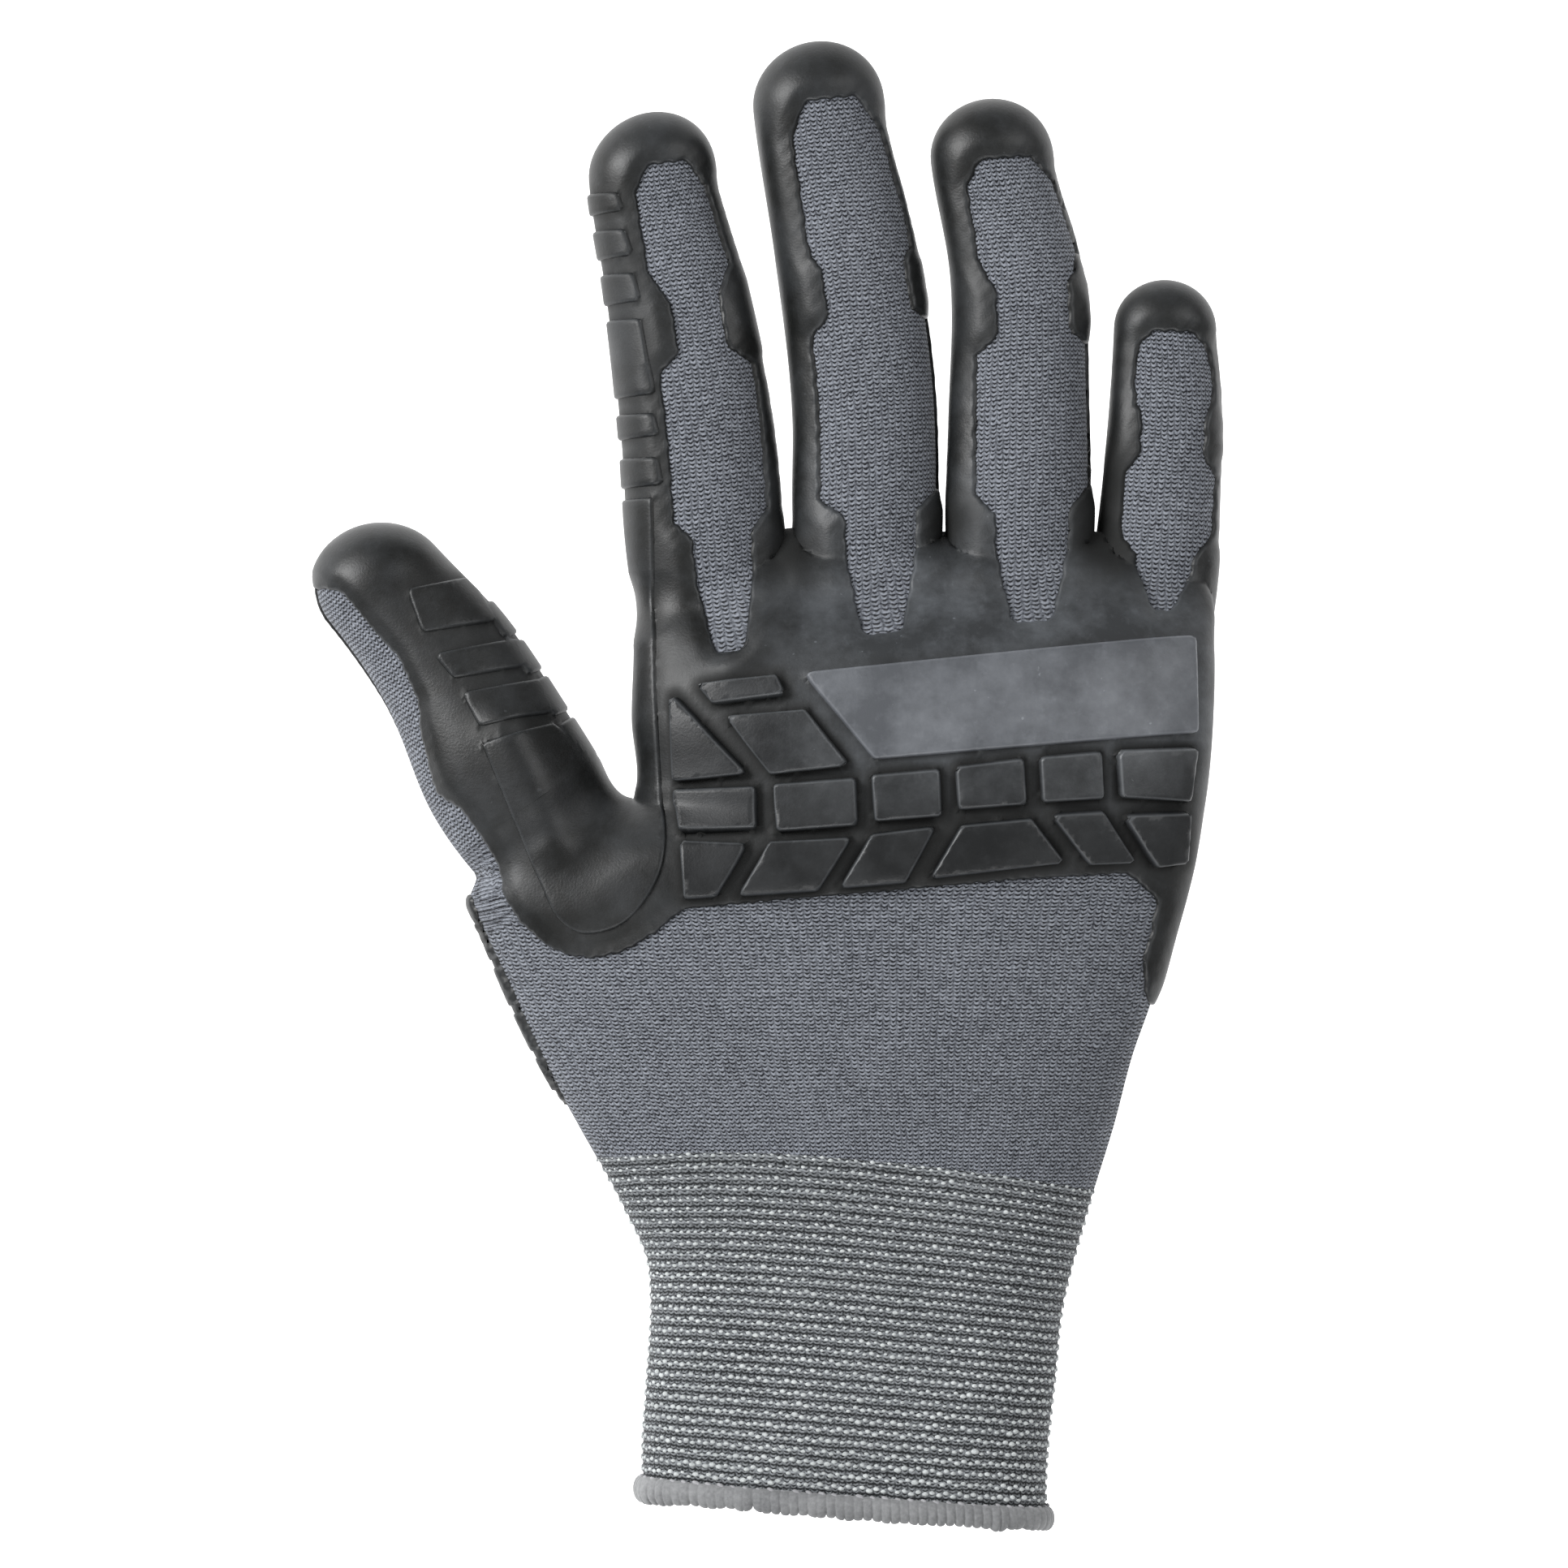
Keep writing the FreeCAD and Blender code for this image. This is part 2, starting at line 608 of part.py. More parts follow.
def build_palm_tread():
    """Rows of grip blocks under the palm, which the glove rests on."""
    sketch = doc.addObject("Sketcher::SketchObject", "palm_tread_outline")
    for left, right, y in TREAD_ROWS:
        pitch = (right - left) / TREAD_BLOCKS_PER_ROW
        low, high = y - TREAD_ROW_DEPTH / 2, y + TREAD_ROW_DEPTH / 2
        for k in range(TREAD_BLOCKS_PER_ROW):
            x0, x1 = left + k * pitch, left + (k + 1) * pitch - TREAD_GAP
            trace(sketch, ((x0, low), (x1, low), (x1, high), (x0, high)))
    blocks = add("Part::Extrusion", "palm_tread_blocks", Base=sketch, Solid=True, LengthFwd="Sizes.tread_height")
    blocks.DirMode = "Normal"
    show(blocks, "palm_tread")


def check_and_export():
    """Stops if any object failed or any sub-part isn't a sound solid, then writes one STEP file for each node."""
    doc.recompute()
    failed = [o.Name for o in doc.Objects if "Invalid" in o.State or "Error" in o.State]
    if failed:
        raise RuntimeError(f"these objects failed: {failed}")
    loose = [o.Name for o in doc.Objects if o.TypeId == "Sketcher::SketchObject" and o.solve() != 0]
    if loose:
        raise RuntimeError(f"these sketches don't solve: {loose}")
    os.makedirs("parts", exist_ok=True)
    for obj in SHOWN:
        shape = obj.Shape
        if shape.isNull() or not shape.isValid() or not shape.Solids:
            raise RuntimeError(f"{obj.Label} is not a sound solid")
        shape.exportStep(f"parts/{obj.Label}.step")
    print(f"{len(SHOWN)} sub-parts")


def main():
    """Builds the glove from the hand outwards and writes its sub-parts."""
    fill_sheet()
    build_hand()
    build_cuff()
    build_raised_hand()
    build_palm_tread()
    for digit in DIGITS:
        build_digit(digit)
    build_raised_pads()
    check_and_export()


main()
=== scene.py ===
# The looks of the work glove: a knitted liner, the moulded rubber over it, the cuff's elastic and its hem.
#
# Lengths are in millimetres until a mesh is made. The glove's skin is a smooth field, zero on the liner's
# surface and negative inside. The hand is meshed from that field and each digit as rings round its own axis,
# and both are split where the joints bend them. The rubber is the same skin, raised off the liner where the
# rubber lies.

import json
import math

import bpy
import mathutils
import numpy as np
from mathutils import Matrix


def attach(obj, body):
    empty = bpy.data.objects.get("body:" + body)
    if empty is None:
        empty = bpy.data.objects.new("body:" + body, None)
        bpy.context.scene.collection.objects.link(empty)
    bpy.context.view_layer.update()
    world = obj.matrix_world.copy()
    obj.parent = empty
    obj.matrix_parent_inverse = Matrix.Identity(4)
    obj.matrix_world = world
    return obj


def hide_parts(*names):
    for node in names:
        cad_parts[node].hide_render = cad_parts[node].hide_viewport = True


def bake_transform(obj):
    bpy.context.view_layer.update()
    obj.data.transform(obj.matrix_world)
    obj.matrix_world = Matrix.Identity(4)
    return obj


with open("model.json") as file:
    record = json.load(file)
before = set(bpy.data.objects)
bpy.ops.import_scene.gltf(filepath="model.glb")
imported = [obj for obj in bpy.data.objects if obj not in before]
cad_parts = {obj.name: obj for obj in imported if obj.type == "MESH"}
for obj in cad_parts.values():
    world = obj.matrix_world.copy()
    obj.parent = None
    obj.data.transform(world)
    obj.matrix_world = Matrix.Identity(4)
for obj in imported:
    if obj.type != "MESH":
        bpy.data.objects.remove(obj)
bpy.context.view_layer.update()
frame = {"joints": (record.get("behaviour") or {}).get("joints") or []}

METRES = 0.001
FAR = 1e9  # farther than anything on the glove
RUBBER = 1.25  # the rubber's thickness over the liner
STEP = 0.9  # the spacing of the points on the hand's skin
SLOPE_STEP = 0.05  # how far apart a field is read for its slope
NEWTON_STEPS = 4  # how often the hand's points are moved onto the skin

JOINTS = {j["name"]: np.array(j.get("pos_m", (0, 0, 0)), float) / METRES for j in frame["joints"]}
RISE = JOINTS["index_base_fold"][2]  # the height of the digits' lowest line

# Each digit: its far end in x and y, its widths at its joints from the base out, how far its tip bows
# sideways, where along its axis its skin leaves the hand's, and where inside the hand it begins.
DIGITS = {
    "index": {"end": (-20.4, 113.0), "widths": (26.8, 26.4, 24.0), "bow": -1.1, "split": -6.5, "foot": -30},
    "middle": {"end": (7.4, 125.0), "widths": (25.8, 25.4, 24.6), "bow": -0.8, "split": -6.6, "foot": -34},
    "ring": {"end": (36.9, 115.3), "widths": (25.6, 24.8, 23.0), "bow": -0.9, "split": -6.6, "foot": -34},
    "little": {"end": (67.4, 84.6), "widths": (21.4, 20.6, 19.2), "bow": -0.2, "split": -1.3, "foot": -26},
    "thumb": {"end": (-73.6, 40.8), "widths": (29.8, 25.6), "bow": 0.3, "split": -8.0, "foot": -40},
}
FLATNESS = {"thumb": 0.9, "finger": 0.8}  # a digit's height as a share of its width
FOOT_SHARE = 0.84  # a finger's size where it ends inside the hand, as a share of that at its base
THUMB_FOOT = (22.0, 17.0)  # the thumb's width and height where it ends inside the hand
THUMB_LEANS = (-0.8, -1.9)  # how far the thumb's skin lies from its joints, across it
CAP_LENGTH = 0.95  # how long the rounded end of a digit is, as a share of half its width
TIP_TAPER = 0.09  # how much narrower a digit grows over its last segment

# The hand's outline: y, left edge, right edge and the height of the back.
HAND_ROWS = (
    (-128.0, -21.0, 46.6, 29.6),
    (-114.0, -21.6, 47.0, 29.6),
    (-102.0, -20.9, 48.3, 29.6),
    (-88.5, -20.2, 49.8, 29.6),
    (-82.0, -20.7, 51.4, 29.8),
    (-72.0, -25.1, 54.2, 30.2),
    (-59.0, -32.3, 58.2, 30.6),
    (-46.0, -39.4, 61.7, 30.8),
    (-39.0, -42.8, 64.2, 30.8),
    (-26.0, -48.2, 67.8, 30.8),
    (-19.5, -50.4, 69.6, 30.8),
    (-14.5, -44.5, 70.8, 30.8),
    (-10.0, -30.0, 71.6, 30.8),
    (-6.0, -22.0, 72.2, 30.8),
    (-2.0, -20.9, 72.8, 30.8),
    (10.0, -21.6, 73.8, 30.6),
    (22.0, -21.3, 74.0, 27.2),
    (32.0, -21.9, 73.2, 19.6),
    (37.0, -19.0, 70.0, 16.8),
    (42.0, -14.0, 66.0, 14.8),
    (48.0, -14.0, 66.0, 13.0),
)
# The palm's line: y and z.
PALM_ROWS = ((-130.0, 2.65), (-10.0, 2.65), (8.0, 3.0), (24.0, 5.0), (38.0, 7.0), (50.0, 7.5))
HAND_FRONT = 40.5  # the y where the hand ends between the fingers
SECTION_POWER = 2.4  # 2 is an ellipse; more is squarer
DIGIT_POWER = 2.1
WEB_BLEND = 8.0
OUTER_SIDES = {"index": -1.0, "little": 1.0}  # the side of these fingers where there is no web
OUTER_BLEND = 0.05  # the blend left on that side, as a share
WEB_EDGE = 6.0  # how far either way of a finger's middle line the web's blend comes in
THUMB_BLEND = 8.0
THUMB_FADE = 12.0
FRONT_ROUNDING = 8.0  # how softly the hand ends under the fingers
BLEND_FADE = 7.0  # over what length a digit's blend into the hand fades, at its split and at its foot


# ---------------------------------------------------------------- the skin as a field


def curve(x, rows, column):
    """A smooth line through a table's column, by its first column."""
    xs = np.array([r[0] for r in rows], float)
    ys = np.array([r[column] for r in rows], float)
    slopes = np.gradient(ys, xs)
    k = np.clip(np.searchsorted(xs, x) - 1, 0, len(xs) - 2)
    h = xs[k + 1] - xs[k]
    t = np.clip((x - xs[k]) / h, 0, 1)
    rise, fall = 3 * t**2 - 2 * t**3, 2 * t**3 - 3 * t**2 + 1
    bend = (t**3 - 2 * t**2 + t) * slopes[k] + (t**3 - t**2) * slopes[k + 1]
    return fall * ys[k] + rise * ys[k + 1] + h * bend


def eased(value, start, end):
    """From 0 at the start to 1 at the end, with no corner at either."""
    t = np.clip((value - start) / (end - start), 0, 1)
    return t * t * (3 - 2 * t)


def unit(vectors):
    """The vectors at a length of 1."""
    return vectors / np.maximum(np.linalg.norm(vectors, axis=1), 1e-9)[:, None]


def smooth_min(a, b, k):
    """The lower of two fields, rounded over k where they meet."""
    k = np.maximum(k, 1e-6)
    h = np.clip(0.5 + 0.5 * (b - a) / k, 0, 1)
    return b + (a - b) * h - k * h * (1 - h)


def oval_field(across, up, rx, rz, power):
    """Roughly the distance outside an oval."""
    a, u = np.abs(across) / rx, np.abs(up) / rz
    f = np.maximum((a**power + u**power) ** (1 / power), 1e-3)
    steep = np.hypot((a / f) ** (power - 1) / rx, (u / f) ** (power - 1) / rz)
    return (f - 1) / np.maximum(steep, 1e-6)


def oval_turn(turn, power):
    """Points round an oval of half size 1 at turns in radians."""
    return tuple(np.sign(w) * np.abs(w) ** (2 / power) for w in (np.cos(turn), np.sin(turn)))


def hand_section(y):
    """The hand's section at y: its centre in x and z and its half sizes."""
    left, right, top = (curve(y, HAND_ROWS, c) for c in (1, 2, 3))
    low = curve(y, PALM_ROWS, 1)
    return (left + right) / 2, (top + low) / 2, (right - left) / 2, (top - low) / 2


def hand_field(p):
    """The hand and cuff without the digits."""
    cx, cz, rx, rz = hand_section(p[:, 1])
    tube = oval_field(p[:, 0] - cx, p[:, 2] - cz, rx, rz, SECTION_POWER)
    return -smooth_min(-tube, HAND_FRONT - p[:, 1], FRONT_ROUNDING)


class Digit:
    """A finger or thumb: a row of ovals whose planes are all square to one straight axis."""

    def __init__(self, name, end, widths, bow, split, foot):
        self.name = name
        self.split, self.foot = split, foot
        self.flat = FLATNESS.get(name, FLATNESS["finger"])
        self.segments = ("base", "tip") if name == "thumb" else ("base", "mid", "tip")
        pivots = [JOINTS[f"{name}_{s}_fold"][:2] for s in self.segments]
        self.origin = pivots[0]
        self.length = float(np.hypot(*(np.array(end) - self.origin)))
        self.axis = (np.array(end) - self.origin) / self.length
        self.side = np.array((self.axis[1], -self.axis[0]))
        self.joints = [float((p - self.origin) @ self.axis) for p in pivots]
        shifts = [float((p - self.origin) @ self.side) for p in pivots]
        narrow = widths[-1] * (1 - TIP_TAPER)
        self.cap = self.length - CAP_LENGTH * narrow / 2
        root_lean = (shifts[1] - shifts[0]) / (self.joints[1] - self.joints[0])
        heights = [w * self.flat for w in widths]
        foot_size = THUMB_FOOT if name == "thumb" else (FOOT_SHARE * widths[0], FOOT_SHARE * heights[0])
        if name == "thumb":
            shifts = [shift + lean for shift, lean in zip(shifts, THUMB_LEANS)]
            root_lean = 0.0
        self.rows = [(foot, shifts[0] + root_lean * foot, *foot_size, heights[0] / 2)]
        for k in range(len(pivots)):
            self.rows.append((self.joints[k], shifts[k], widths[k], heights[k], heights[k] / 2))
        left = (self.length - self.cap) / (self.length - self.joints[-1])
        end = (narrow, narrow * self.flat, narrow * self.flat / 2)
        self.rows.append((self.cap, shifts[-1] * left + bow, *end))
        self.rows.append((self.length, 0.0, *end))

    def local(self, p):
        """Across and along a digit's axis, in x and y."""
        q = p[:, :2] - self.origin
        return q @ self.side - curve(q @ self.axis, self.rows, 1), q @ self.axis

    def section(self, along):
        """Half width, half height and centre height."""
        width, height = curve(along, self.rows, 2), curve(along, self.rows, 3)
        past = np.clip((along - self.cap) / (self.length - RUBBER - self.cap), 0, 1)
        closed = np.sqrt(np.maximum(1 - past**2, 1e-4))
        rx, rz = width / 2 - RUBBER, height / 2 - RUBBER
        return rx * closed, rz * closed, RISE + curve(along, self.rows, 4)

    def field(self, p):
        """Roughly the distance outside the digit."""
        across, along = self.local(p)
        rx, rz, cz = self.section(along)
        tube = oval_field(across, p[:, 2] - cz, rx, rz, DIGIT_POWER)
        return np.maximum(tube, self.foot - along)


digits = {name: Digit(name, **facts) for name, facts in DIGITS.items()}


def skin_field(p):
    """The whole liner: the hand blended into each digit, and the digits left creased against each other."""
    hand = hand_field(p)
    whole = hand
    for digit in digits.values():
        along = digit.local(p)[1]
        reach = THUMB_FADE if digit.name == "thumb" else BLEND_FADE
        fade = eased(digit.split - along, 0.0, reach) * eased(along - digit.foot, 0.0, reach)
        blend = THUMB_BLEND if digit.name == "thumb" else WEB_BLEND
        if digit.name in OUTER_SIDES:
            webbed = eased(OUTER_SIDES[digit.name] * digit.local(p)[0], WEB_EDGE, -WEB_EDGE)
            blend = WEB_BLEND * (OUTER_BLEND + (1 - OUTER_BLEND) * webbed)
        whole = np.minimum(whole, smooth_min(hand, digit.field(p), blend * fade))
    return whole


def gradient(field, p):
    """The field's slope at points."""
    g = np.stack([field(p + d) - field(p - d) for d in np.eye(3) * SLOPE_STEP], axis=1)
    return g / (2 * SLOPE_STEP)


def normals_of(field, p):
    """Unit normals of the field's surface."""
    return unit(gradient(field, p))


def surface_net(field, low, high, step):
    """A mesh of the field's zero surface: a point in each cell it crosses, joined round each crossed edge."""
    axes = [np.arange(a, b + step, step) for a, b in zip(low, high)]
    shape = tuple(len(a) for a in axes)
    grid = np.stack(np.meshgrid(*axes, indexing="ij"), -1).reshape(-1, 3)
    value = field(grid).reshape(shape)
    inside = value < 0
    cells = tuple(n - 1 for n in shape)
    total, count = np.zeros(cells + (3,)), np.zeros(cells)
    for axis in range(3):
        for o in np.ndindex(2, 2, 2):
            if o[axis]:
                continue
            o2 = tuple(1 if k == axis else v for k, v in enumerate(o))
            a, b = (value[tuple(slice(k, k + n) for k, n in zip(at, cells))] for at in (o, o2))
            crossed = (a < 0) != (b < 0)
            t = np.where(crossed, a / np.where(crossed, a - b, 1), 0)
            place = np.broadcast_to(np.array(o, float), cells + (3,)).copy()
            place[..., axis] += t
            total += place * crossed[..., None]
            count += crossed
    used = count > 0
    number = -np.ones(cells, int)
    number[used] = np.arange(used.sum())
    base = np.stack(np.nonzero(used), 1)
    points = np.array(low) + (base + total[used] / count[used][:, None]) * step
    faces = []
    for axis in range(3):
        b, c = (axis + 1) % 3, (axis + 2) % 3
        ahead = np.roll(inside, -1, axis)
        crossed = inside != ahead
        at = np.stack(np.nonzero(crossed), 1)
        at = at[(at[:, axis] < cells[axis]) & (at[:, b] > 0) & (at[:, c] > 0)]
        at = at[(at[:, b] < cells[b]) & (at[:, c] < cells[c])]
        quad = []
        for db, dc in ((0, 0), (-1, 0), (-1, -1), (0, -1)):
            k = at.copy()
            k[:, b] += db
            k[:, c] += dc
            quad.append(number[k[:, 0], k[:, 1], k[:, 2]])
        quad = np.stack(quad, 1)
        out = inside[at[:, 0], at[:, 1], at[:, 2]]
        quad[~out] = quad[~out][:, ::-1]
        faces.append(quad)
    quads = np.concatenate(faces)
    for _ in range(NEWTON_STEPS):
        g = gradient(field, points)
        points -= (field(points) / np.maximum((g**2).sum(1), 1e-6))[:, None] * g
    return points, np.concatenate([quads[:, [0, 1, 2]], quads[:, [0, 2, 3]]])


def digit_rings(digit, step):
    """A digit's skin past its split as rings round its axis, closed at the tip."""
    straight = np.arange(digit.split, digit.cap, step)
    reach = digit.length - RUBBER - digit.cap
    turns = np.linspace(0, math.pi / 2, int(1.3 * reach / step) + 4)[:-1]
    along = np.concatenate([straight, digit.cap + reach * np.sin(turns)])
    around = np.linspace(0, 2 * math.pi, int(math.pi * digit.rows[1][2] / step) + 1)[:-1]
    rx, rz, cz = (v[:, None] for v in digit.section(along))
    x, z = oval_turn(around, DIGIT_POWER)
    across = (x * rx + curve(along, digit.rows, 1)[:, None]).ravel()
    far = np.repeat(along, len(around))
    flat = digit.origin + across[:, None] * digit.side + far[:, None] * digit.axis
    points = np.column_stack([flat, (z * rz + cz).ravel()])
    tip = digit.origin + digit.axis * (digit.length - RUBBER)
    points = np.vstack([points, [*tip, cz[-1, 0]]])
    n, m = len(around), len(along)
    i, j = np.meshgrid(np.arange(m - 1), np.arange(n), indexing="ij")
    a, b = i * n + j, i * n + (j + 1) % n
    c, d = a + n, b + n
    faces = np.concatenate([np.stack([a, c, b], -1).reshape(-1, 3), np.stack([b, c, d], -1).reshape(-1, 3)])
    last = (m - 1) * n + np.arange(n)
    cap = np.stack([last, np.full(n, len(points) - 1), np.roll(last, -1)], 1)
    return points, np.concatenate([faces, cap])


# ---------------------------------------------------------------- cutting a mesh along a line

SNAP = 0.05  # a point nearer than this to a cut is moved onto it


def split_at(table, faces, values, level):
    """Cuts triangles exactly where a value crosses a level, and carries the table's columns across."""
    values = np.where(np.abs(values - level) < SNAP, level, values)
    above = values >= level
    count = above[faces].sum(1)
    whole, mixed = faces[(count == 0) | (count == 3)], faces[(count == 1) | (count == 2)]
    if not len(mixed):
        return table, faces, values
    lone = above[mixed] == (above[mixed].sum(1) == 1)[:, None]
    first = lone.argmax(1)
    a, b, c = (mixed[np.arange(len(mixed)), (first + k) % 3] for k in range(3))
    pairs = np.sort(np.concatenate([np.stack([a, b], 1), np.stack([a, c], 1)]), 1)
    edges, where = np.unique(pairs, axis=0, return_inverse=True)
    low, high = values[edges[:, 0]], values[edges[:, 1]]
    t = (level - low) / (high - low)
    new = len(table) + np.arange(len(edges))
    new = np.where(t <= 0, edges[:, 0], np.where(t >= 1, edges[:, 1], new))
    added = table[edges[:, 0]] + t[:, None] * (table[edges[:, 1]] - table[edges[:, 0]])
    ab, ac = new[where.reshape(-1)[: len(a)]], new[where.reshape(-1)[len(a) :]]
    made = np.concatenate([np.stack(f, 1) for f in ((a, ab, ac), (ab, b, c), (ab, c, ac))])
    made = made[(made[:, 0] != made[:, 1]) & (made[:, 1] != made[:, 2]) & (made[:, 0] != made[:, 2])]
    values = np.append(values, np.full(len(edges), level))
    return np.vstack([table, added]), np.concatenate([whole, made]), values


def trimmed(table, faces):
    """The rows of a table that its faces use."""
    used, index = np.unique(faces, return_inverse=True)
    return table[used], index.reshape(faces.shape)


# ---------------------------------------------------------------- outlines, seen from above


def stretch_distance(q, a, b):
    """How far points lie from the straight stretch between two points."""
    t = np.clip((q - a) @ (b - a) / ((b - a) @ (b - a)), 0, 1)
    return np.hypot(*(q - a - t[:, None] * (b - a)).T)


def outline_distance(q, outline):
    """How far points lie outside a closed outline: negative inside."""
    outline = np.array(outline, float)
    best, inside = np.full(len(q), FAR), np.zeros(len(q), bool)
    for a, b in zip(outline, np.roll(outline, -1, axis=0)):
        edge = b - a
        best = np.minimum(best, stretch_distance(q, a, b))
        crossed = (a[1] > q[:, 1]) != (b[1] > q[:, 1])
        inside ^= crossed & (q[:, 0] < a[0] + (q[:, 1] - a[1]) * edge[0] / (edge[1] or 1))
    return np.where(inside, -best, best)


def line_distance(q, line):
    """How far points lie from an open line."""
    best = np.full(len(q), FAR)
    for a, b in zip(np.array(line[:-1], float), np.array(line[1:], float)):
        best = np.minimum(best, stretch_distance(q, a, b))
    return best


def flowing(points, steps=5):
    """A smooth open line through points."""
    p = np.array(points, float)
    n = len(p)
    out = []
    for i in range(n - 1):
        k = [min(max(i + d, 0), n - 1) for d in (-1, 0, 1, 2)]
        a, b, c, d = p[k]
        for t in np.arange(steps) / steps:
            cubic = (-a + 3 * b - 3 * c + d) * t**3 + (2 * a - 5 * b + 4 * c - d) * t**2
            out.append((cubic + (c - a) * t + 2 * b) / 2)
    out.append(p[-1])
    return np.array(out)


def rounded(outline, radius, steps=3):
    """A closed outline with its corners rounded."""
    p = np.array(outline, float)
    out = []
    for a, b, c in zip(np.roll(p, 1, axis=0), p, np.roll(p, -1, axis=0)):
        to_a, to_c = (a - b) / np.hypot(*(a - b)), (c - b) / np.hypot(*(c - b))
        half = math.acos(float(np.clip(to_a @ to_c, -1, 1))) / 2
        back = min(radius / math.tan(half), 0.45 * np.hypot(*(a - b)), 0.45 * np.hypot(*(c - b)))
        for t in np.linspace(0, 1, steps + 1):
            out.append(b + ((1 - t) ** 2 * to_a + t**2 * to_c) * back)
    return np.array(out)


# Each finger's knitted window: how far the end section reaches past the tip joint; the widths of the end
# section, waist, middle section, root and foot; how far the middle section reaches either way of the middle
# joint; the foot's y; and how far the window lies from the finger's middle line.
WINDOWS = {
    "index": (20.0, 13.4, 8.0, 15.6, 9.8, 4.8, 11.5, 13.5, 21.0, 2.6),
    "middle": (25.0, 17.0, 13.8, 20.2, 12.0, 6.5, 13.0, 14.5, 24.2, 2.1),
    "ring": (18.5, 16.6, 12.0, 19.0, 12.4, 6.5, 11.0, 12.5, 26.2, 1.9),
    "little": (10.6, 13.2, 10.6, 15.2, 9.6, 3.2, 3.0, 7.5, 28.2, 1.1),
}
WINDOW_CORNER = 1.4
HAND_WINDOW_CORNER = 1.2


def window_outline(digit):
    """A finger's window across and along its axis."""
    reach, tip_w, waist, wide, root, foot_w, above, below, foot_y, shift = WINDOWS[digit.name]
    mid, tip = digit.joints[1:]
    foot = (foot_y - digit.origin[1]) / digit.axis[1]
    rows = (
        (tip + reach, 0.5 * tip_w),
        (tip + 0.77 * reach, 0.86 * tip_w),
        (tip + 2.0, tip_w),
        (tip - 1.5, waist + 0.15 * tip_w),
        (tip - 3.5, waist),
        (mid + above + 3.0, waist),
        (mid + above, wide),
        (mid - below, wide),
        (mid - below - 3.5, root),
        (0.55 * (mid - below) + 0.45 * foot, 0.96 * root),
        (foot + 0.2 * (mid - foot), 0.55 * root + 0.45 * foot_w),
        (foot, foot_w),
    )
    right = [(shift + w / 2, s) for s, w in rows]
    left = [(shift - w / 2, s) for s, w in reversed(rows)]
    return rounded(right + left, WINDOW_CORNER)


# The knit seen on the back of the hand and down the thumb's outer side, clockwise from the thumb.
HAND_WINDOW = (
    (-72.5, 31.5), (-67.1, 25.3), (-62.6, 20.2), (-59.2, 13.0), (-58.9, 8.5), (-57.6, 2.7),
    (-56.0, -2.5), (-51.7, -5.6), (-48.4, -10.0), (-45.8, -14.4), (-44.7, -19.8), (-42.0, -24.2),
    (-38.4, -27.7), (-34.4, -29.8), (-29.7, -30.5), (-24.5, -29.3), (-19.6, -26.4), (-14.4, -22.1),
    (1.6, -20.6), (20.8, -19.0), (41.4, -17.2), (60.0, -16.1), (65.3, -20.5), (64.2, -26.0),
    (62.8, -31.0), (63.4, -37.0), (72.0, -50.0), (72.0, -150.0), (-60.0, -150.0), (-31.0, -62.0),
    (-35.8, -52.2), (-43.6, -35.4), (-47.0, -28.4), (-50.0, -20.9), (-52.2, -16.5), (-56.0, -12.0),
    (-64.0, -8.0), (-84.0, 10.0), (-84.0, 33.0),
)
PALM_FOOT = ((-60.0, -52.5), (-20.0, -56.0), (30.0, -52.0), (80.0, -38.5))  # where the palm's rubber ends
SIDE_Z = 9.5  # above this the knit may show; below it the sides are rubber
RAGGED = 0.09  # how uneven the rubber's edge on the knit is


def rubber_depth(p):
    """How far inside the rubber a point of the skin lies: negative where the knit shows."""
    flat = p[:, :2]
    near = np.full(len(p), FAR)
    for digit in digits.values():
        if digit.name != "thumb":
            q = np.column_stack(digit.local(p))
            near = np.minimum(near, outline_distance(q, window_outlines[digit.name]))
    near = np.minimum(near, outline_distance(flat, hand_window))
    top = np.maximum(near, SIDE_Z - p[:, 2])
    foot = p[:, 1] - curve(p[:, 0], PALM_FOOT, 1)
    ragged = np.sin(2.3 * p[:, 0] + 1.4 * p[:, 1]) + np.sin(1.9 * p[:, 1] - 2.9 * p[:, 0] + 2.0)
    return np.minimum(top, foot) + RAGGED * ragged


window_outlines = {name: window_outline(d) for name, d in digits.items() if name != "thumb"}
hand_window = rounded(HAND_WINDOW, HAND_WINDOW_CORNER)


# ---------------------------------------------------------------- what stands proud of the rubber

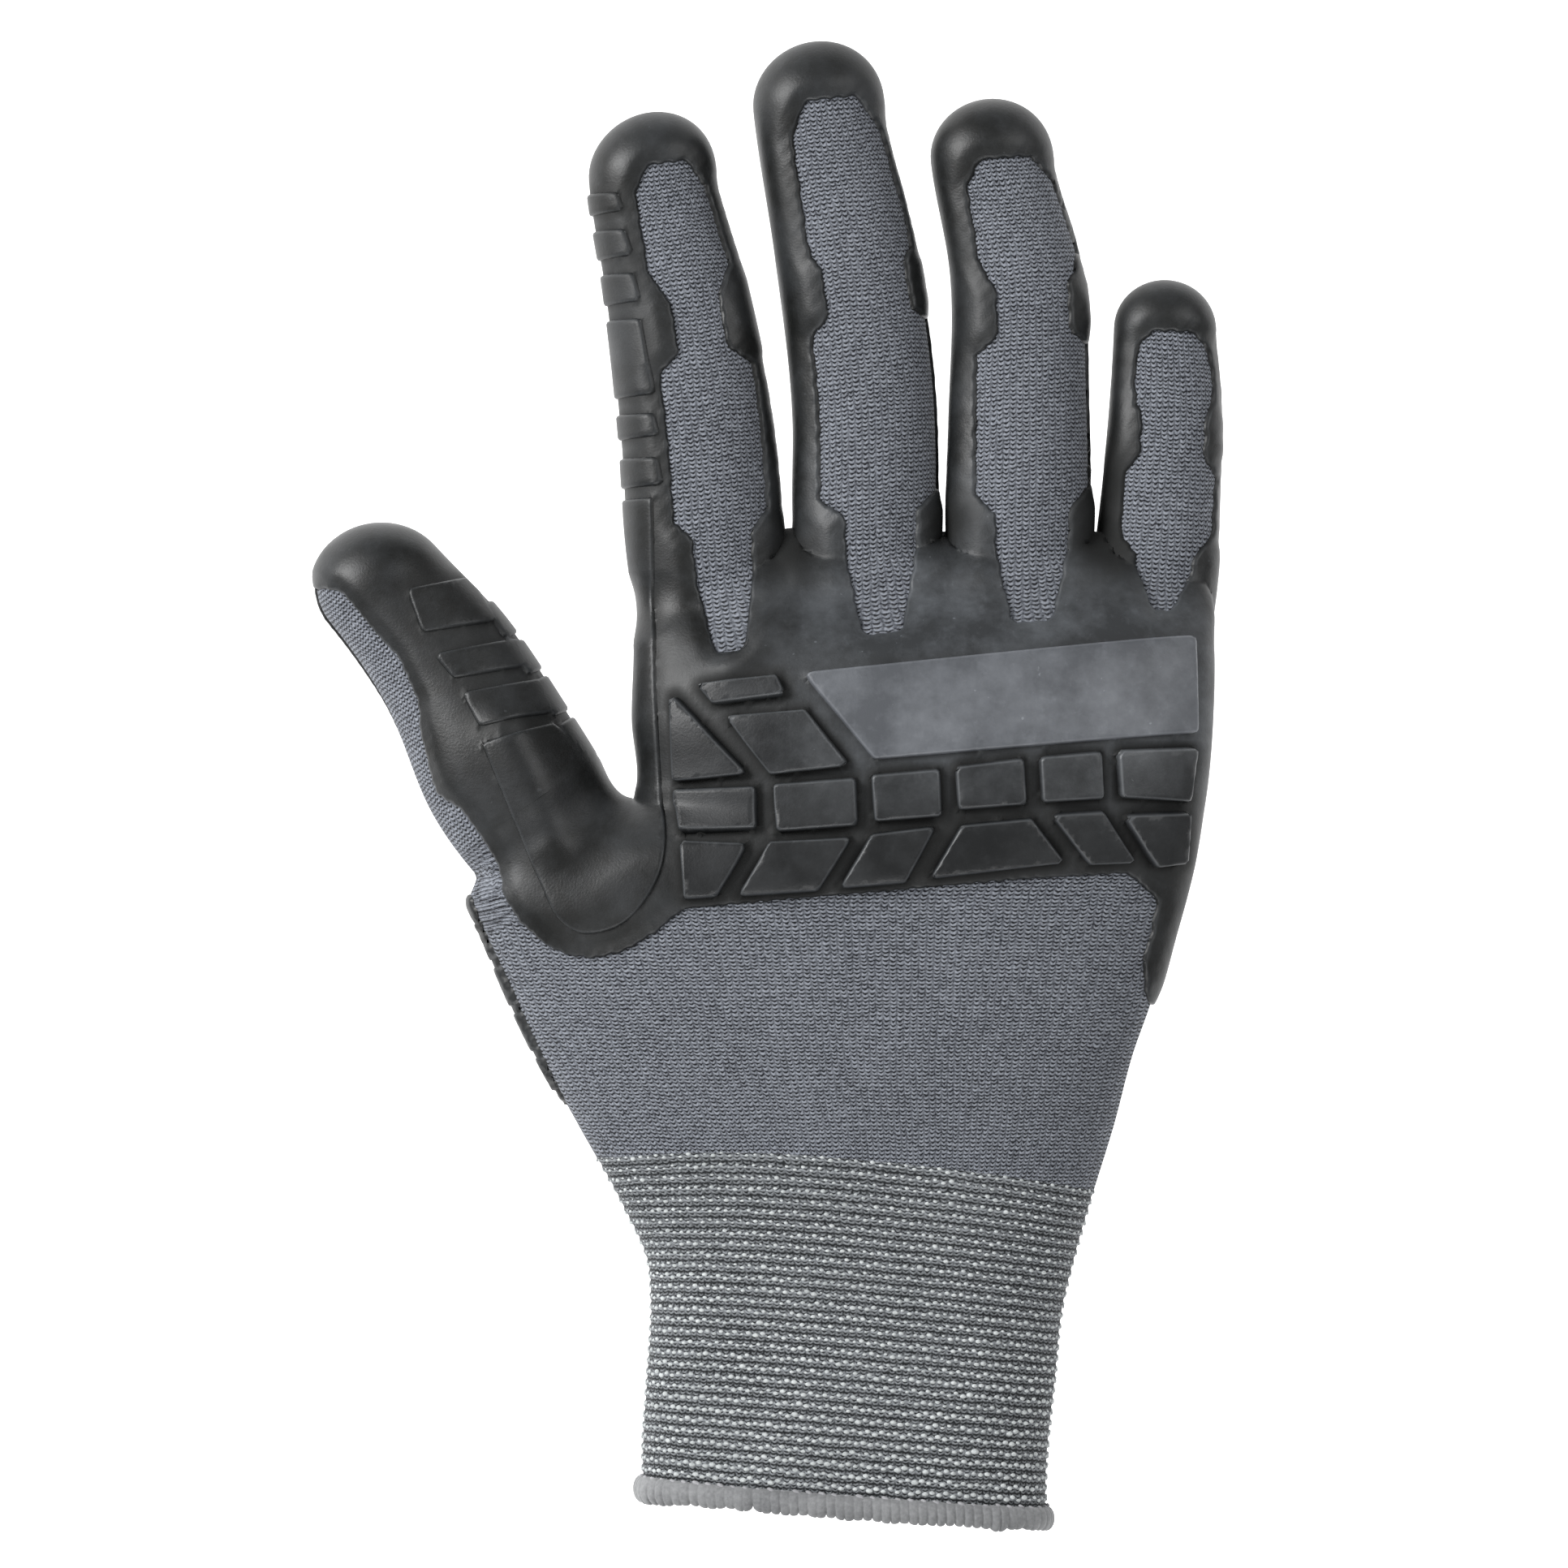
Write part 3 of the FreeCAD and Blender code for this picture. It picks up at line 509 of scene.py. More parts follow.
# The knuckle pad, seen from above: the plain bar, then the blocks row by row.
KNUCKLE_BAR = ((5.5, 17.2), (71.0, 23.4), (71.0, 7.5), (17.6, 3.0))
KNUCKLE_BLOCKS = (
    ((-12.0, 15.4), (1.5, 16.8), (3.2, 13.4), (-9.0, 11.9)),
    ((-7.2, 10.2), (6.2, 11.2), (13.8, 2.0), (0.4, 0.4)),
    ((-16.0, 14.6), (-2.9, 0.6), (-15.2, -0.9)),
    ((-15.2, -2.0), (-1.8, -1.4), (-1.8, -9.2), (-15.0, -10.2)),
    ((0.8, -1.0), (14.6, 0.1), (15.0, -8.2), (1.2, -9.6)),
    ((17.0, 0.6), (28.6, 1.6), (29.0, -6.6), (17.5, -7.6)),
    ((31.0, 2.0), (42.6, 3.4), (43.1, -4.6), (31.5, -5.6)),
    ((45.0, 3.6), (55.4, 4.5), (55.8, -3.6), (45.4, -4.3)),
    ((57.8, 4.7), (70.6, 5.2), (69.4, -4.0), (58.3, -3.4)),
    ((-15.0, -11.6), (-3.2, -11.4), (-8.8, -20.2), (-14.4, -20.6)),
    ((0.0, -11.0), (14.2, -9.9), (8.2, -19.2), (-5.6, -20.1)),
    ((17.0, -9.4), (28.2, -8.0), (22.8, -17.8), (11.4, -18.8)),
    ((32.0, -7.8), (43.8, -6.6), (49.6, -14.2), (26.4, -17.2)),
    ((46.6, -6.0), (55.6, -5.4), (61.2, -14.2), (53.2, -14.6)),
    ((58.5, -6.0), (69.4, -5.5), (68.8, -14.2), (64.0, -15.0)),
)
THUMB_PADS = (
    ((-61.5, 31.6), (-51.8, 33.0), (-46.8, 25.6), (-58.6, 24.2)),
    ((-56.8, 20.8), (-43.6, 22.8), (-42.0, 18.0), (-53.2, 16.4)),
    ((-51.9, 14.2), (-39.8, 16.0), (-37.4, 10.2), (-48.8, 8.2)),
)
THUMB_RIDGE = ((-44.5, 8.0), (-40.0, -1.0), (-36.5, -11.0))
THUMB_RIDGE_HEIGHT = 1.6
THUMB_RIDGE_WIDTH = 7.0 / math.sqrt(3)
THUMB_BUMPS = ((-48.8, 29.4), (-44.2, 22.6), (-40.4, 16.4), (-36.2, 9.2), (-31.6, 1.6))
EDGE_BUMPS = ((-35.0, -53.0), (-38.4, -46.0), (-42.2, -38.5), (-46.0, -31.0), (-49.4, -23.5))
WEB_FOLD = ((4.0, 39.0), (4.6, 33.0), (2.6, 27.0), (-2.0, 21.5), (-6.5, 18.0))
WEB_FOLD_HEIGHT = 0.9
WEB_FOLD_WIDTH = 2.6
# The hollows between the fingers, where painted shade darkens the rubber: x, y and size.
SHADED_VALLEYS = ((57.6, 40.0, 7.5), (57.0, 50.0, 6.0), (30.4, 43.5, 4.5), (3.6, 37.0, 5.0))
# The smooth band from the index finger's outer side round the crotch to the thumb.
BAND_EDGE = (
    (-18.8, 40.0), (-18.3, 15.0), (-17.3, -3.0), (-17.3, -12.5), (-19.6, -19.0), (-24.4, -24.5),
    (-30.8, -26.2), (-35.6, -23.2), (-38.8, -17.0), (-41.4, -11.0), (-48.4, 5.6),
)
BAND_OUTSIDE = ((-37.6, 8.6), (-28.0, 1.0), (-25.0, 4.0), (-32.0, 46.6), (-19.0, 47.4))
SIDE_BLOCK_ROWS = ((101.2, 97.2), (94.9, 89.6), (87.4, 81.8), (79.6, 66.0), (63.6, 59.0), (56.2, 50.8))

# Each kind: its height over the rubber, how wide its shoulder is, its corners' radius, the lowest z that it
# reaches down to, and how much painted shade it lays on the rubber beside it.
KINDS = {
    "knuckle_bar": (1.3, 0.4, 1.0, 17.0, 0.25),
    "knuckle_blocks": (2.1, 0.4, 0.8, 17.0, 0.95),
    "thumb_pads": (0.6, 0.5, 0.9, 14.0, 0.45),
    "thumb_saddle": (0.55, 0.5, 0.0, 8.0, 0.2),
    "side_blocks": (0.6, 0.6, 0.9, 6.5, 0.35),
    "edge_tread": (0.35, 0.5, 0.8, 4.0, 0.3),
    "palm_tread": (1.25, 0.6, 0.0, 0.0, 0.45),
}
KIND_NAMES = list(KINDS)


def side_block_outlines():
    """The blocks down the index finger's outer side."""
    digit = digits["index"]
    outlines = []
    for top, foot in SIDE_BLOCK_ROWS:
        corners = []
        for y, share in ((top, 1.3), (top - 1.2, 0.5), (foot - 0.6, 0.46), (foot, 1.3)):
            along = (y - digit.origin[1]) / digit.axis[1]
            half = curve(np.array([along]), digit.rows, 2)[0] / 2
            centre = curve(np.array([along]), digit.rows, 1)[0]
            x, y_at = digit.origin + digit.side * (centre - share * half) + digit.axis * along
            corners.append((x, y_at))
        outlines.append(corners)
    return outlines


BUMP_SPAN = (0.06, 0.9)  # the share of each stretch of its line that a bump fills
BUMP_REACH = (5.0, 1.2)  # how far a bump reaches outside and inside its line


def bump_outlines(line):
    """Tread blocks on the outer side of a line, one for each of its stretches."""
    outlines = []
    for (x, y), (x2, y2) in zip(line[:-1], line[1:]):
        step = np.array((x2 - x, y2 - y))
        out = np.array((-step[1], step[0])) / np.hypot(*step)
        low, high = (np.array((x, y)) + share * step for share in BUMP_SPAN)
        outward, inward = (reach * out for reach in BUMP_REACH)
        outlines.append((low + outward, high + outward, high - inward, low - inward))
    return outlines


OUTLINES = {
    "knuckle_bar": [KNUCKLE_BAR],
    "knuckle_blocks": KNUCKLE_BLOCKS,
    "thumb_pads": THUMB_PADS,
    "thumb_saddle": [[*flowing(BAND_EDGE), *BAND_OUTSIDE]],
    "side_blocks": side_block_outlines() + bump_outlines(THUMB_BUMPS),
    "edge_tread": bump_outlines(EDGE_BUMPS),
}

TREAD_MIDDLE = 24.0  # the x that the palm's bars slope away from
TREAD_SLOPE = 0.45
TREAD_PITCH = (15.0, 9.0)  # how far apart the blocks lie in x and y
TREAD_HALF = (6.4, 2.9)  # half a block's size
TREAD_Y = (-44.0, 26.0)
TREAD_TOP = 8.0  # the height that the tread stays below
TREAD_SHARE = 0.84  # the share of the palm's width that the tread fills


def palm_tread_depth(p):
    """The palm's tread: slanted bars cut into blocks, within the palm."""
    x, y = p[:, 0], p[:, 1]
    wide, tall = TREAD_PITCH
    slant = y + TREAD_SLOPE * np.abs(x - TREAD_MIDDLE)
    row = np.floor(slant / tall)
    bar = TREAD_HALF[1] - np.abs(slant - tall * (row + 0.5))
    shifted = x + wide / 2 * (row % 2)
    block = TREAD_HALF[0] - np.abs(shifted - wide * (np.floor(shifted / wide) + 0.5))
    middle, _, half, _ = hand_section(y)
    inside = np.minimum(TREAD_SHARE * half - np.abs(x - middle), np.minimum(y - TREAD_Y[0], TREAD_Y[1] - y))
    return np.minimum(np.minimum(bar, block), np.minimum(inside, TREAD_TOP - p[:, 2]))


NEARBY = 4.0  # points farther than this from a raised part aren't measured against it
DEPTH_FLOOR = -8.0  # the depth of a point far from every raised part


def raised_parts(p):
    """How far inside a raised part a point lies, and which kind it is."""
    depth, kind = np.full(len(p), -FAR), np.zeros(len(p), int)
    for name, outlines in OUTLINES.items():
        for outline in outlines:
            ring = rounded(outline, KINDS[name][2]) if KINDS[name][2] else np.array(outline)
            low, high = ring.min(0) - NEARBY, ring.max(0) + NEARBY
            near = np.flatnonzero(((p[:, :2] > low) & (p[:, :2] < high)).all(1))
            d = np.minimum(-outline_distance(p[near, :2], ring), p[near, 2] - KINDS[name][3])
            better = d > depth[near]
            depth[near[better]] = d[better]
            kind[near[better]] = KIND_NAMES.index(name)
    d = palm_tread_depth(p)
    kind = np.where(d > depth, KIND_NAMES.index("palm_tread"), kind)
    return np.maximum(depth, np.maximum(d, DEPTH_FLOOR)), kind


def shoulder(depth, width):
    """From 0 at an edge to 1 a width inside it, rounded."""
    t = np.clip(depth / width, 0, 1)
    return np.sqrt(1 - (1 - t) ** 2)


# ---------------------------------------------------------------- the knit's own coordinates

WALE = 1.3  # the width of a column of stitches
COURSE = 0.76  # the height of a row of stitches
HAND_FINENESS = 1.15  # how much finer the hand's knit is than the fingers'
BACK_KNIT, PALM_KNIT = 52.0, 46.0  # half the knit's width across the back and the palm
SIDE_KNIT = 58.0 / 1.2  # its width for each radian round the sides
THUMB_KNIT_FROM, THUMB_KNIT_FADE = -22.0, 14.0  # where the thumb's own knit takes over, and over what length
THUMB_STITCHES = (2.0, 6.0)  # how many stitches it is shifted to meet the hand's
KNIT_REACH = 2.0  # a finger's knit reaches this far past its window


def knit_place(p):
    """Round and along the knit at points of the skin, in millimetres at its widest."""
    cx, cz, rx, rz = hand_section(p[:, 1])
    turn = np.arctan2((p[:, 0] - cx) / rx, (p[:, 2] - cz) / rz)
    narrow = np.abs(np.sin(turn)) ** 2
    u = PALM_KNIT * np.sin(turn) * (1 - narrow) + SIDE_KNIT * turn * narrow
    u = HAND_FINENESS * np.where(p[:, 2] > cz, BACK_KNIT * (p[:, 0] - cx) / rx, u)
    v = HAND_FINENESS * p[:, 1]
    reach = np.full(len(p), FAR)
    for digit in digits.values():
        across, along = digit.local(p)
        drx, drz, dcz = digit.section(np.minimum(along, digit.cap))
        around = np.arctan2(across / drx, (p[:, 2] - dcz) / drz) * digit.rows[1][2] / 2
        if digit.name == "thumb":
            here = np.clip((along - THUMB_KNIT_FROM) / THUMB_KNIT_FADE, 0, 1) * (across < 0)
            u = u + here * (around - THUMB_STITCHES[0] * WALE - u)
            v = v + here * (along - THUMB_STITCHES[1] * COURSE - v)
        else:
            near = outline_distance(np.column_stack([across, along]), window_outlines[digit.name])
            mine = near < np.minimum(reach, KNIT_REACH)
            reach = np.minimum(reach, near)
            u, v = np.where(mine, around, u), np.where(mine, along, v)
    return u, v


# ---------------------------------------------------------------- smoothing the skin and making meshes

# Where the hand's skin is relaxed into a softer bend: x, y and the reach of the smoothing.
RELAXED_SPOTS = ((-36.0, -9.0, 15.0), (-20.5, 30.0, 7.0))
RELAX_ROUNDS = 140
RELAX_PULL = 0.6  # how far each round moves a point towards its neighbours' middle
NEAR_AXIS = 22.0  # a point this near a digit's axis is held still at its split
HELD_LENGTH = 5.0  # over what length before a split the smoothing fades
FULL_EFFECT = 0.45  # the share of a spot's reach within which the smoothing is full
MESH_GAIN = 4  # how fast the normals change to the smoothed mesh's own as the smoothing grows


def relaxed(table, faces):
    """Draws a skin's points towards their neighbours near the relaxed spots. The digits' splits stay put."""
    points = table[:, :3]
    weight = np.zeros(len(points))
    for x, y, reach in RELAXED_SPOTS:
        distance = np.hypot(points[:, 0] - x, points[:, 1] - y)
        weight = np.maximum(weight, eased(distance, reach, FULL_EFFECT * reach))
    for digit in digits.values():
        across, along = digit.local(points)
        held = weight * eased(digit.split - along, 0.0, HELD_LENGTH)
        weight = np.where(np.abs(across) < NEAR_AXIS, held, weight)
    weight = weight[:, None]
    a, b = faces.T.ravel(), np.roll(faces, -1, axis=1).T.ravel()
    count = np.maximum(np.bincount(a, minlength=len(points)), 1)[:, None]
    for _ in range(RELAX_ROUNDS):
        mean = np.stack([np.bincount(a, points[b, k], len(points)) for k in range(3)], axis=1) / count
        points = points + RELAX_PULL * weight * (mean - points)
    corners = points[faces]
    flat = np.tile(np.cross(corners[:, 1] - corners[:, 0], corners[:, 2] - corners[:, 0]), (3, 1))
    sums = [np.bincount(a, flat[:, k], len(points)) for k in range(3)]
    mesh_share = np.minimum(weight * MESH_GAIN, 1)
    outward = table[:, 3:6] * (1 - mesh_share) + unit(np.stack(sums, axis=1)) * mesh_share
    return np.column_stack([points, unit(outward), table[:, 6:]])


def skin_table(points, field):
    """The skin's points with each one's normal and its place in the knit."""
    u, v = knit_place(points)
    return np.column_stack([points, normals_of(field, points), u, v])


def make_mesh(name, points, faces, attributes, material):
    """A smooth mesh from millimetres, with its named values at each point."""
    mesh = bpy.data.meshes.new(name)
    mesh.vertices.add(len(points))
    mesh.vertices.foreach_set("co", (points * METRES).astype(np.float32).ravel())
    mesh.loops.add(faces.size)
    mesh.loops.foreach_set("vertex_index", faces.astype(np.int32).ravel())
    mesh.polygons.add(len(faces))
    mesh.polygons.foreach_set("loop_start", (np.arange(len(faces)) * faces.shape[1]).astype(np.int32))
    mesh.polygons.foreach_set("loop_total", np.full(len(faces), faces.shape[1], np.int32))
    mesh.update(calc_edges=True)
    mesh.polygons.foreach_set("use_smooth", np.ones(len(faces), bool))
    for key, values in attributes.items():
        kind = "FLOAT" if values.ndim == 1 else "FLOAT_VECTOR"
        field = mesh.attributes.new(key, kind, "POINT")
        field.data.foreach_set("value" if values.ndim == 1 else "vector", values.astype(np.float32).ravel())
    mesh.validate()
    mesh.materials.append(material)
    piece = bpy.data.objects.new(name, mesh)
    bpy.context.scene.collection.objects.link(piece)
    return piece


# ---------------------------------------------------------------- materials


class Shader:
    """A material's nodes, made by short calls."""

    def __init__(self, name, roughness):
        self.material = bpy.data.materials.new(name)
        self.material.use_nodes = True
        self.tree = self.material.node_tree
        self.surface = self.tree.nodes["Principled BSDF"]
        self.set("Roughness", roughness)

    def feed(self, socket, value):
        """Joins a node's output to a socket, or sets the socket to a plain value."""
        if hasattr(value, "links"):
            self.tree.links.new(value, socket)
        else:
            socket.default_value = value

    def set(self, socket, value):
        self.feed(self.surface.inputs[socket], value)

    def node(self, kind, out=0, **inputs):
        settings = {k: v for k, v in inputs.items() if k[0].islower()}
        made = self.tree.nodes.new(kind)
        for key, value in settings.items():
            setattr(made, key, value)
        for key, value in inputs.items():
            if key in settings:
                continue
            socket = made.inputs[int(key[1:])] if key[1:].isdigit() else made.inputs[key]
            self.feed(socket, value)
        return made.outputs[out]

    def maths(self, operation, first, second=0.0, third=0.0):
        return self.node("ShaderNodeMath", operation=operation, I0=first, I1=second, I2=third)

    def add(self, first, second):
        return self.maths("ADD", first, second)

    def times(self, first, second):
        return self.maths("MULTIPLY", first, second)

    def minus(self, first, second):
        return self.maths("SUBTRACT", first, second)

    def value(self, name):
        """A named value stored at the mesh's points."""
        return self.node("ShaderNodeAttribute", out=2, attribute_name=name)

    def vector(self, name):
        return self.node("ShaderNodeAttribute", out=1, attribute_name=name)

    def noise(self, scale, detail=3.0, roughness=0.5, place=None):
        place = place if place is not None else self.vector("rest")
        facts = {"Scale": scale, "Detail": detail, "Roughness": roughness}
        return self.node("ShaderNodeTexNoise", Vector=place, **facts)

    def ramp(self, value, low, high, start, end):
        """A value stretched from low..high to start..end."""
        return self.node("ShaderNodeMapRange", I0=value, I1=low, I2=high, I3=start, I4=end)

    def mix(self, share, first, second):
        made = self.tree.nodes.new("ShaderNodeMix")
        made.data_type = "RGBA"
        for slot, value in ((0, share), (6, first), (7, second)):
            self.feed(made.inputs[slot], value)
        return made.outputs[2]

    def bump(self, height, distance, strength=1.0, under=None):
        extra = {"Normal": under} if under is not None else {}
        return self.node("ShaderNodeBump", Height=height, Distance=distance, Strength=strength, **extra)


def colour(red, green, blue):
    return (red, green, blue, 1.0)


def knit_material(name, dark, light, wale, course, depth, row=0.0):
    """A plain knit's inside face: wavy rows of loops, a dark hole under each. row: the elastic's spacing,
    along which a painted shadow line is laid under each row of elastic.
    """
    s = Shader(name, 0.92)
    split = s.tree.nodes.new("ShaderNodeSeparateXYZ")
    s.tree.links.new(s.vector("knit"), split.inputs[0])
    stray = s.noise(650.0, 2.0)
    drift = s.noise(210.0, 3.0)
    across = s.add(s.maths("DIVIDE", split.outputs[0], wale), s.times(stray, 0.6))
    along = s.add(s.maths("DIVIDE", split.outputs[1], course), s.times(drift, 1.6))
    turn = s.times(across, 2 * math.pi)
    wavy = s.add(along, s.times(s.maths("COSINE", turn), 0.17))
    loop = s.maths("ABSOLUTE", s.maths("SINE", s.times(wavy, math.pi)))
    column = s.maths("MULTIPLY_ADD", s.maths("COSINE", turn), 0.5, 0.5)
    gap = s.maths("POWER", s.minus(1.0, loop), 1.4)
    hole = s.times(gap, s.maths("MULTIPLY_ADD", column, 0.88, 0.12))
    rib = s.times(s.maths("POWER", s.minus(1.0, column), 3.0), 0.32)
    stitch = s.minus(s.minus(1.0, s.times(hole, 1.3)), rib)
    fibre = s.minus(s.noise(2100.0, 3.0, 0.7), 0.5)
    patch = s.minus(s.noise(55.0, 3.0), 0.5)
    cell = s.node("ShaderNodeCombineXYZ", X=s.maths("ROUND", across), Y=s.maths("FLOOR", wavy))
    yarn = s.node("ShaderNodeTexWhiteNoise", Vector=cell)
    tone = s.add(stitch, s.times(fibre, 1.25))
    tone = s.add(tone, s.times(s.minus(yarn, 0.5), 0.12))
    tone = s.add(tone, s.times(patch, 0.14))
    if row:
        # Painted shadow: a dark line along each row of the cuff's elastic, with paler knit between the rows.
        under = s.maths("COSINE", s.maths("MULTIPLY_ADD", split.outputs[1], 2 * math.pi / row, 0.9))
        tone = s.add(tone, s.times(under, 0.22))
    s.set("Base Color", s.mix(s.ramp(tone, 0.4, 1.12, 0.0, 1.0), dark, light))
    s.set("Normal", s.bump(stitch, depth, 0.9))
    s.set("Specular IOR Level", 0.25)
    s.set("Sheen Weight", 0.1)
    s.set("Sheen Roughness", 0.5)
    return s.material


def rubber_material(name, dark, light, roughness, scuff, worn_edge, back_pale_tint):
    """Moulded rubber: a fine grain, dusty scuffs, paler on top of the back of the hand, a pale band on the
    shoulders that is rubbed wear and a painted highlight, and painted shade in the grooves.
    """
    s = Shader(name, roughness)
    # open: 1 where no painted shade lies; lower beside the raised parts and in the hollows between the
    # fingers
    worn, unshaded = s.value("worn"), s.value("open")
    dust = s.ramp(s.noise(75.0, 7.0, 0.66), 0.4, 0.72, 0.0, 1.0)
    streak = s.ramp(s.noise(420.0, 4.0, 0.65), 0.55, 0.8, 0.0, 1.0)
    speck = s.ramp(s.noise(1100.0, 1.0), 0.77, 0.82, 0.0, 0.8)
    marks = s.add(s.add(dust, s.times(streak, 0.35)), speck)
    marks = s.times(marks, s.maths("MULTIPLY_ADD", worn, 0.8 * scuff, 0.35 * scuff))
    # A pale band on each shoulder, just inside the edge: rubbed wear and a painted highlight.
    edge = s.minus(1.0, s.maths("ABSOLUTE", s.minus(s.value("edge"), 0.35)))
    edge = s.times(s.ramp(edge, 0.72, 1.0, 0.0, 1.0), worn_edge)
    # The rubber is paler on top of the back of the hand, by the share worked out in lay_out.
    share = s.add(s.add(marks, edge), s.times(worn, back_pale_tint))
    # Painted shade: beside the raised parts and in the hollows between the fingers the rubber goes towards
    # its darkest tone.
    share = s.times(share, s.maths("POWER", unshaded, 1.5))
    s.set("Base Color", s.mix(s.maths("MINIMUM", share, 1.0), dark, light))
    grain = s.add(s.noise(2600.0, 2.0), s.times(s.noise(240.0, 3.0), 1.4))
    s.set("Normal", s.bump(grain, 0.00006, 0.5))
    gloss = s.ramp(s.noise(70.0, 4.0), 0.3, 0.7, roughness - 0.07, roughness + 0.09)
    s.set("Roughness", s.add(gloss, s.times(s.minus(1.0, unshaded), 0.4)))
    s.set("Specular IOR Level", 0.42)
    return s.material


ELASTIC_PITCH = 1.86  # how far apart the rows of elastic lie
LINER = knit_material(
    "liner", colour(0.006, 0.0072, 0.011), colour(0.262, 0.28, 0.318), WALE, COURSE, 0.0003
)
CUFF = knit_material(
    "cuff", colour(0.01, 0.0115, 0.013), colour(0.25, 0.265, 0.28), 1.2, 0.62, 0.0002, ELASTIC_PITCH
)
RUBBER_BLACK = rubber_material(
    "rubber", colour(0.0035, 0.004, 0.0038), colour(0.12, 0.13, 0.143), 0.45, 0.5, 0.1, 0.2
)
PAD_BLACK = rubber_material(
    "pad", colour(0.005, 0.0058, 0.0065), colour(0.115, 0.122, 0.13), 0.42, 0.45, 0.4, 0.16
)
BAR_GREY = rubber_material(
    "bar", colour(0.07, 0.075, 0.084), colour(0.2, 0.212, 0.232), 0.45, 0.55, 0.3, 0.0
)


def thread_material(name, dark, light):
    """Spun thread: a bundle of fibres with a little fuzz."""
    s = Shader(name, 0.85)
    fibre = s.noise(1500.0, 4.0, 0.6)
    patch = s.noise(120.0, 3.0)
    tone = s.add(s.times(fibre, 0.6), s.times(patch, 0.5))
    s.set("Base Color", s.mix(s.ramp(tone, 0.3, 0.8, 0.0, 1.0), dark, light))
    s.set("Normal", s.bump(fibre, 0.0001, 0.6))
    s.set("Sheen Weight", 0.2)
    return s.material


ELASTIC = thread_material("elastic", colour(0.24, 0.26, 0.265), colour(0.68, 0.71, 0.71))
HEM = thread_material("hem", colour(0.11, 0.113, 0.118), colour(0.27, 0.275, 0.28))
HEM_LIGHT = thread_material("hem_light", colour(0.2, 0.2, 0.21), colour(0.42, 0.42, 0.44))


# ---------------------------------------------------------------- the skin, split into the joints' pieces

X, Y, Z, U, V = 0, 1, 2, 6, 7  # columns of a skin table; 3 to 5 are the normal
MOUTH_X, MOUTH_Y = -21.6, -118.6  # the cuff's mouth on the thumb's side
MOUTH_SLOPE = -0.076  # the hem drops towards the little finger's side
# How far inside the rubber, and inside the raised parts, a skin is cut so that their shoulders can bend.
RUBBER_CUTS = (0.0, 0.12, 0.3, 0.6)
RAISED_CUTS = (0.0, 0.16, 0.5)


def dressed(table, faces):
    """Cuts a skin along the rubber's and the raised parts' edges, and where their shoulders bend."""
    values = rubber_depth(table[:, :3])
    for level in RUBBER_CUTS:
        table, faces, values = split_at(table, faces, values, level)
    table, faces = trimmed(table, faces)
    values = raised_parts(table[:, :3])[0]
    for level in RAISED_CUTS:
        table, faces, values = split_at(table, faces, values, level)
    return trimmed(table, faces)


def kept(table, faces, values, level=0.0):
    """The part of a mesh where a value is at least the level."""
    table, faces, values = split_at(table, faces, values, level)
    return trimmed(table, faces[values[faces].min(1) >= level - 1e-9])


EDGE_SLACK = 0.06  # how far outside its edge a cut triangle may lie and still belong to a part
EDGE_TUCK = 0.12  # how far the rubber's edge is tucked under the liner's skin
EDGE_WIDTH = 0.5  # how wide the rubber's quick rise at its edge is
EDGE_SHARE = 0.55  # the share of its thickness that it gains there
SWELL_WIDTH = 3.0  # how wide its slow rise behind that is
GROOVE_SHADE_REACH = 2.2  # how far from a raised part the rubber beside it is darkened with painted shade
VALLEY_SHADE = 0.97
GROOVE_SHADE_POWER = 1.3  # how quickly that painted shade fades
LIFT_FROM = 0.3  # raised parts stand only this far inside the rubber
RIDGE_FROM = 0.5  # and ridges only this far
FEWEST_FACES = 12  # a part smaller than this in a stretch is left out
# Where the rubber is paler, on top of the back of the hand: an axis, a direction on it, and where the paling
# begins and is full.
BACK_PALE_RANGES = ((X, 1, -8.0, 16.0), (Y, 1, -12.0, 8.0), (Y, -1, -62.0, -46.0), (Z, 1, 12.0, 22.0))


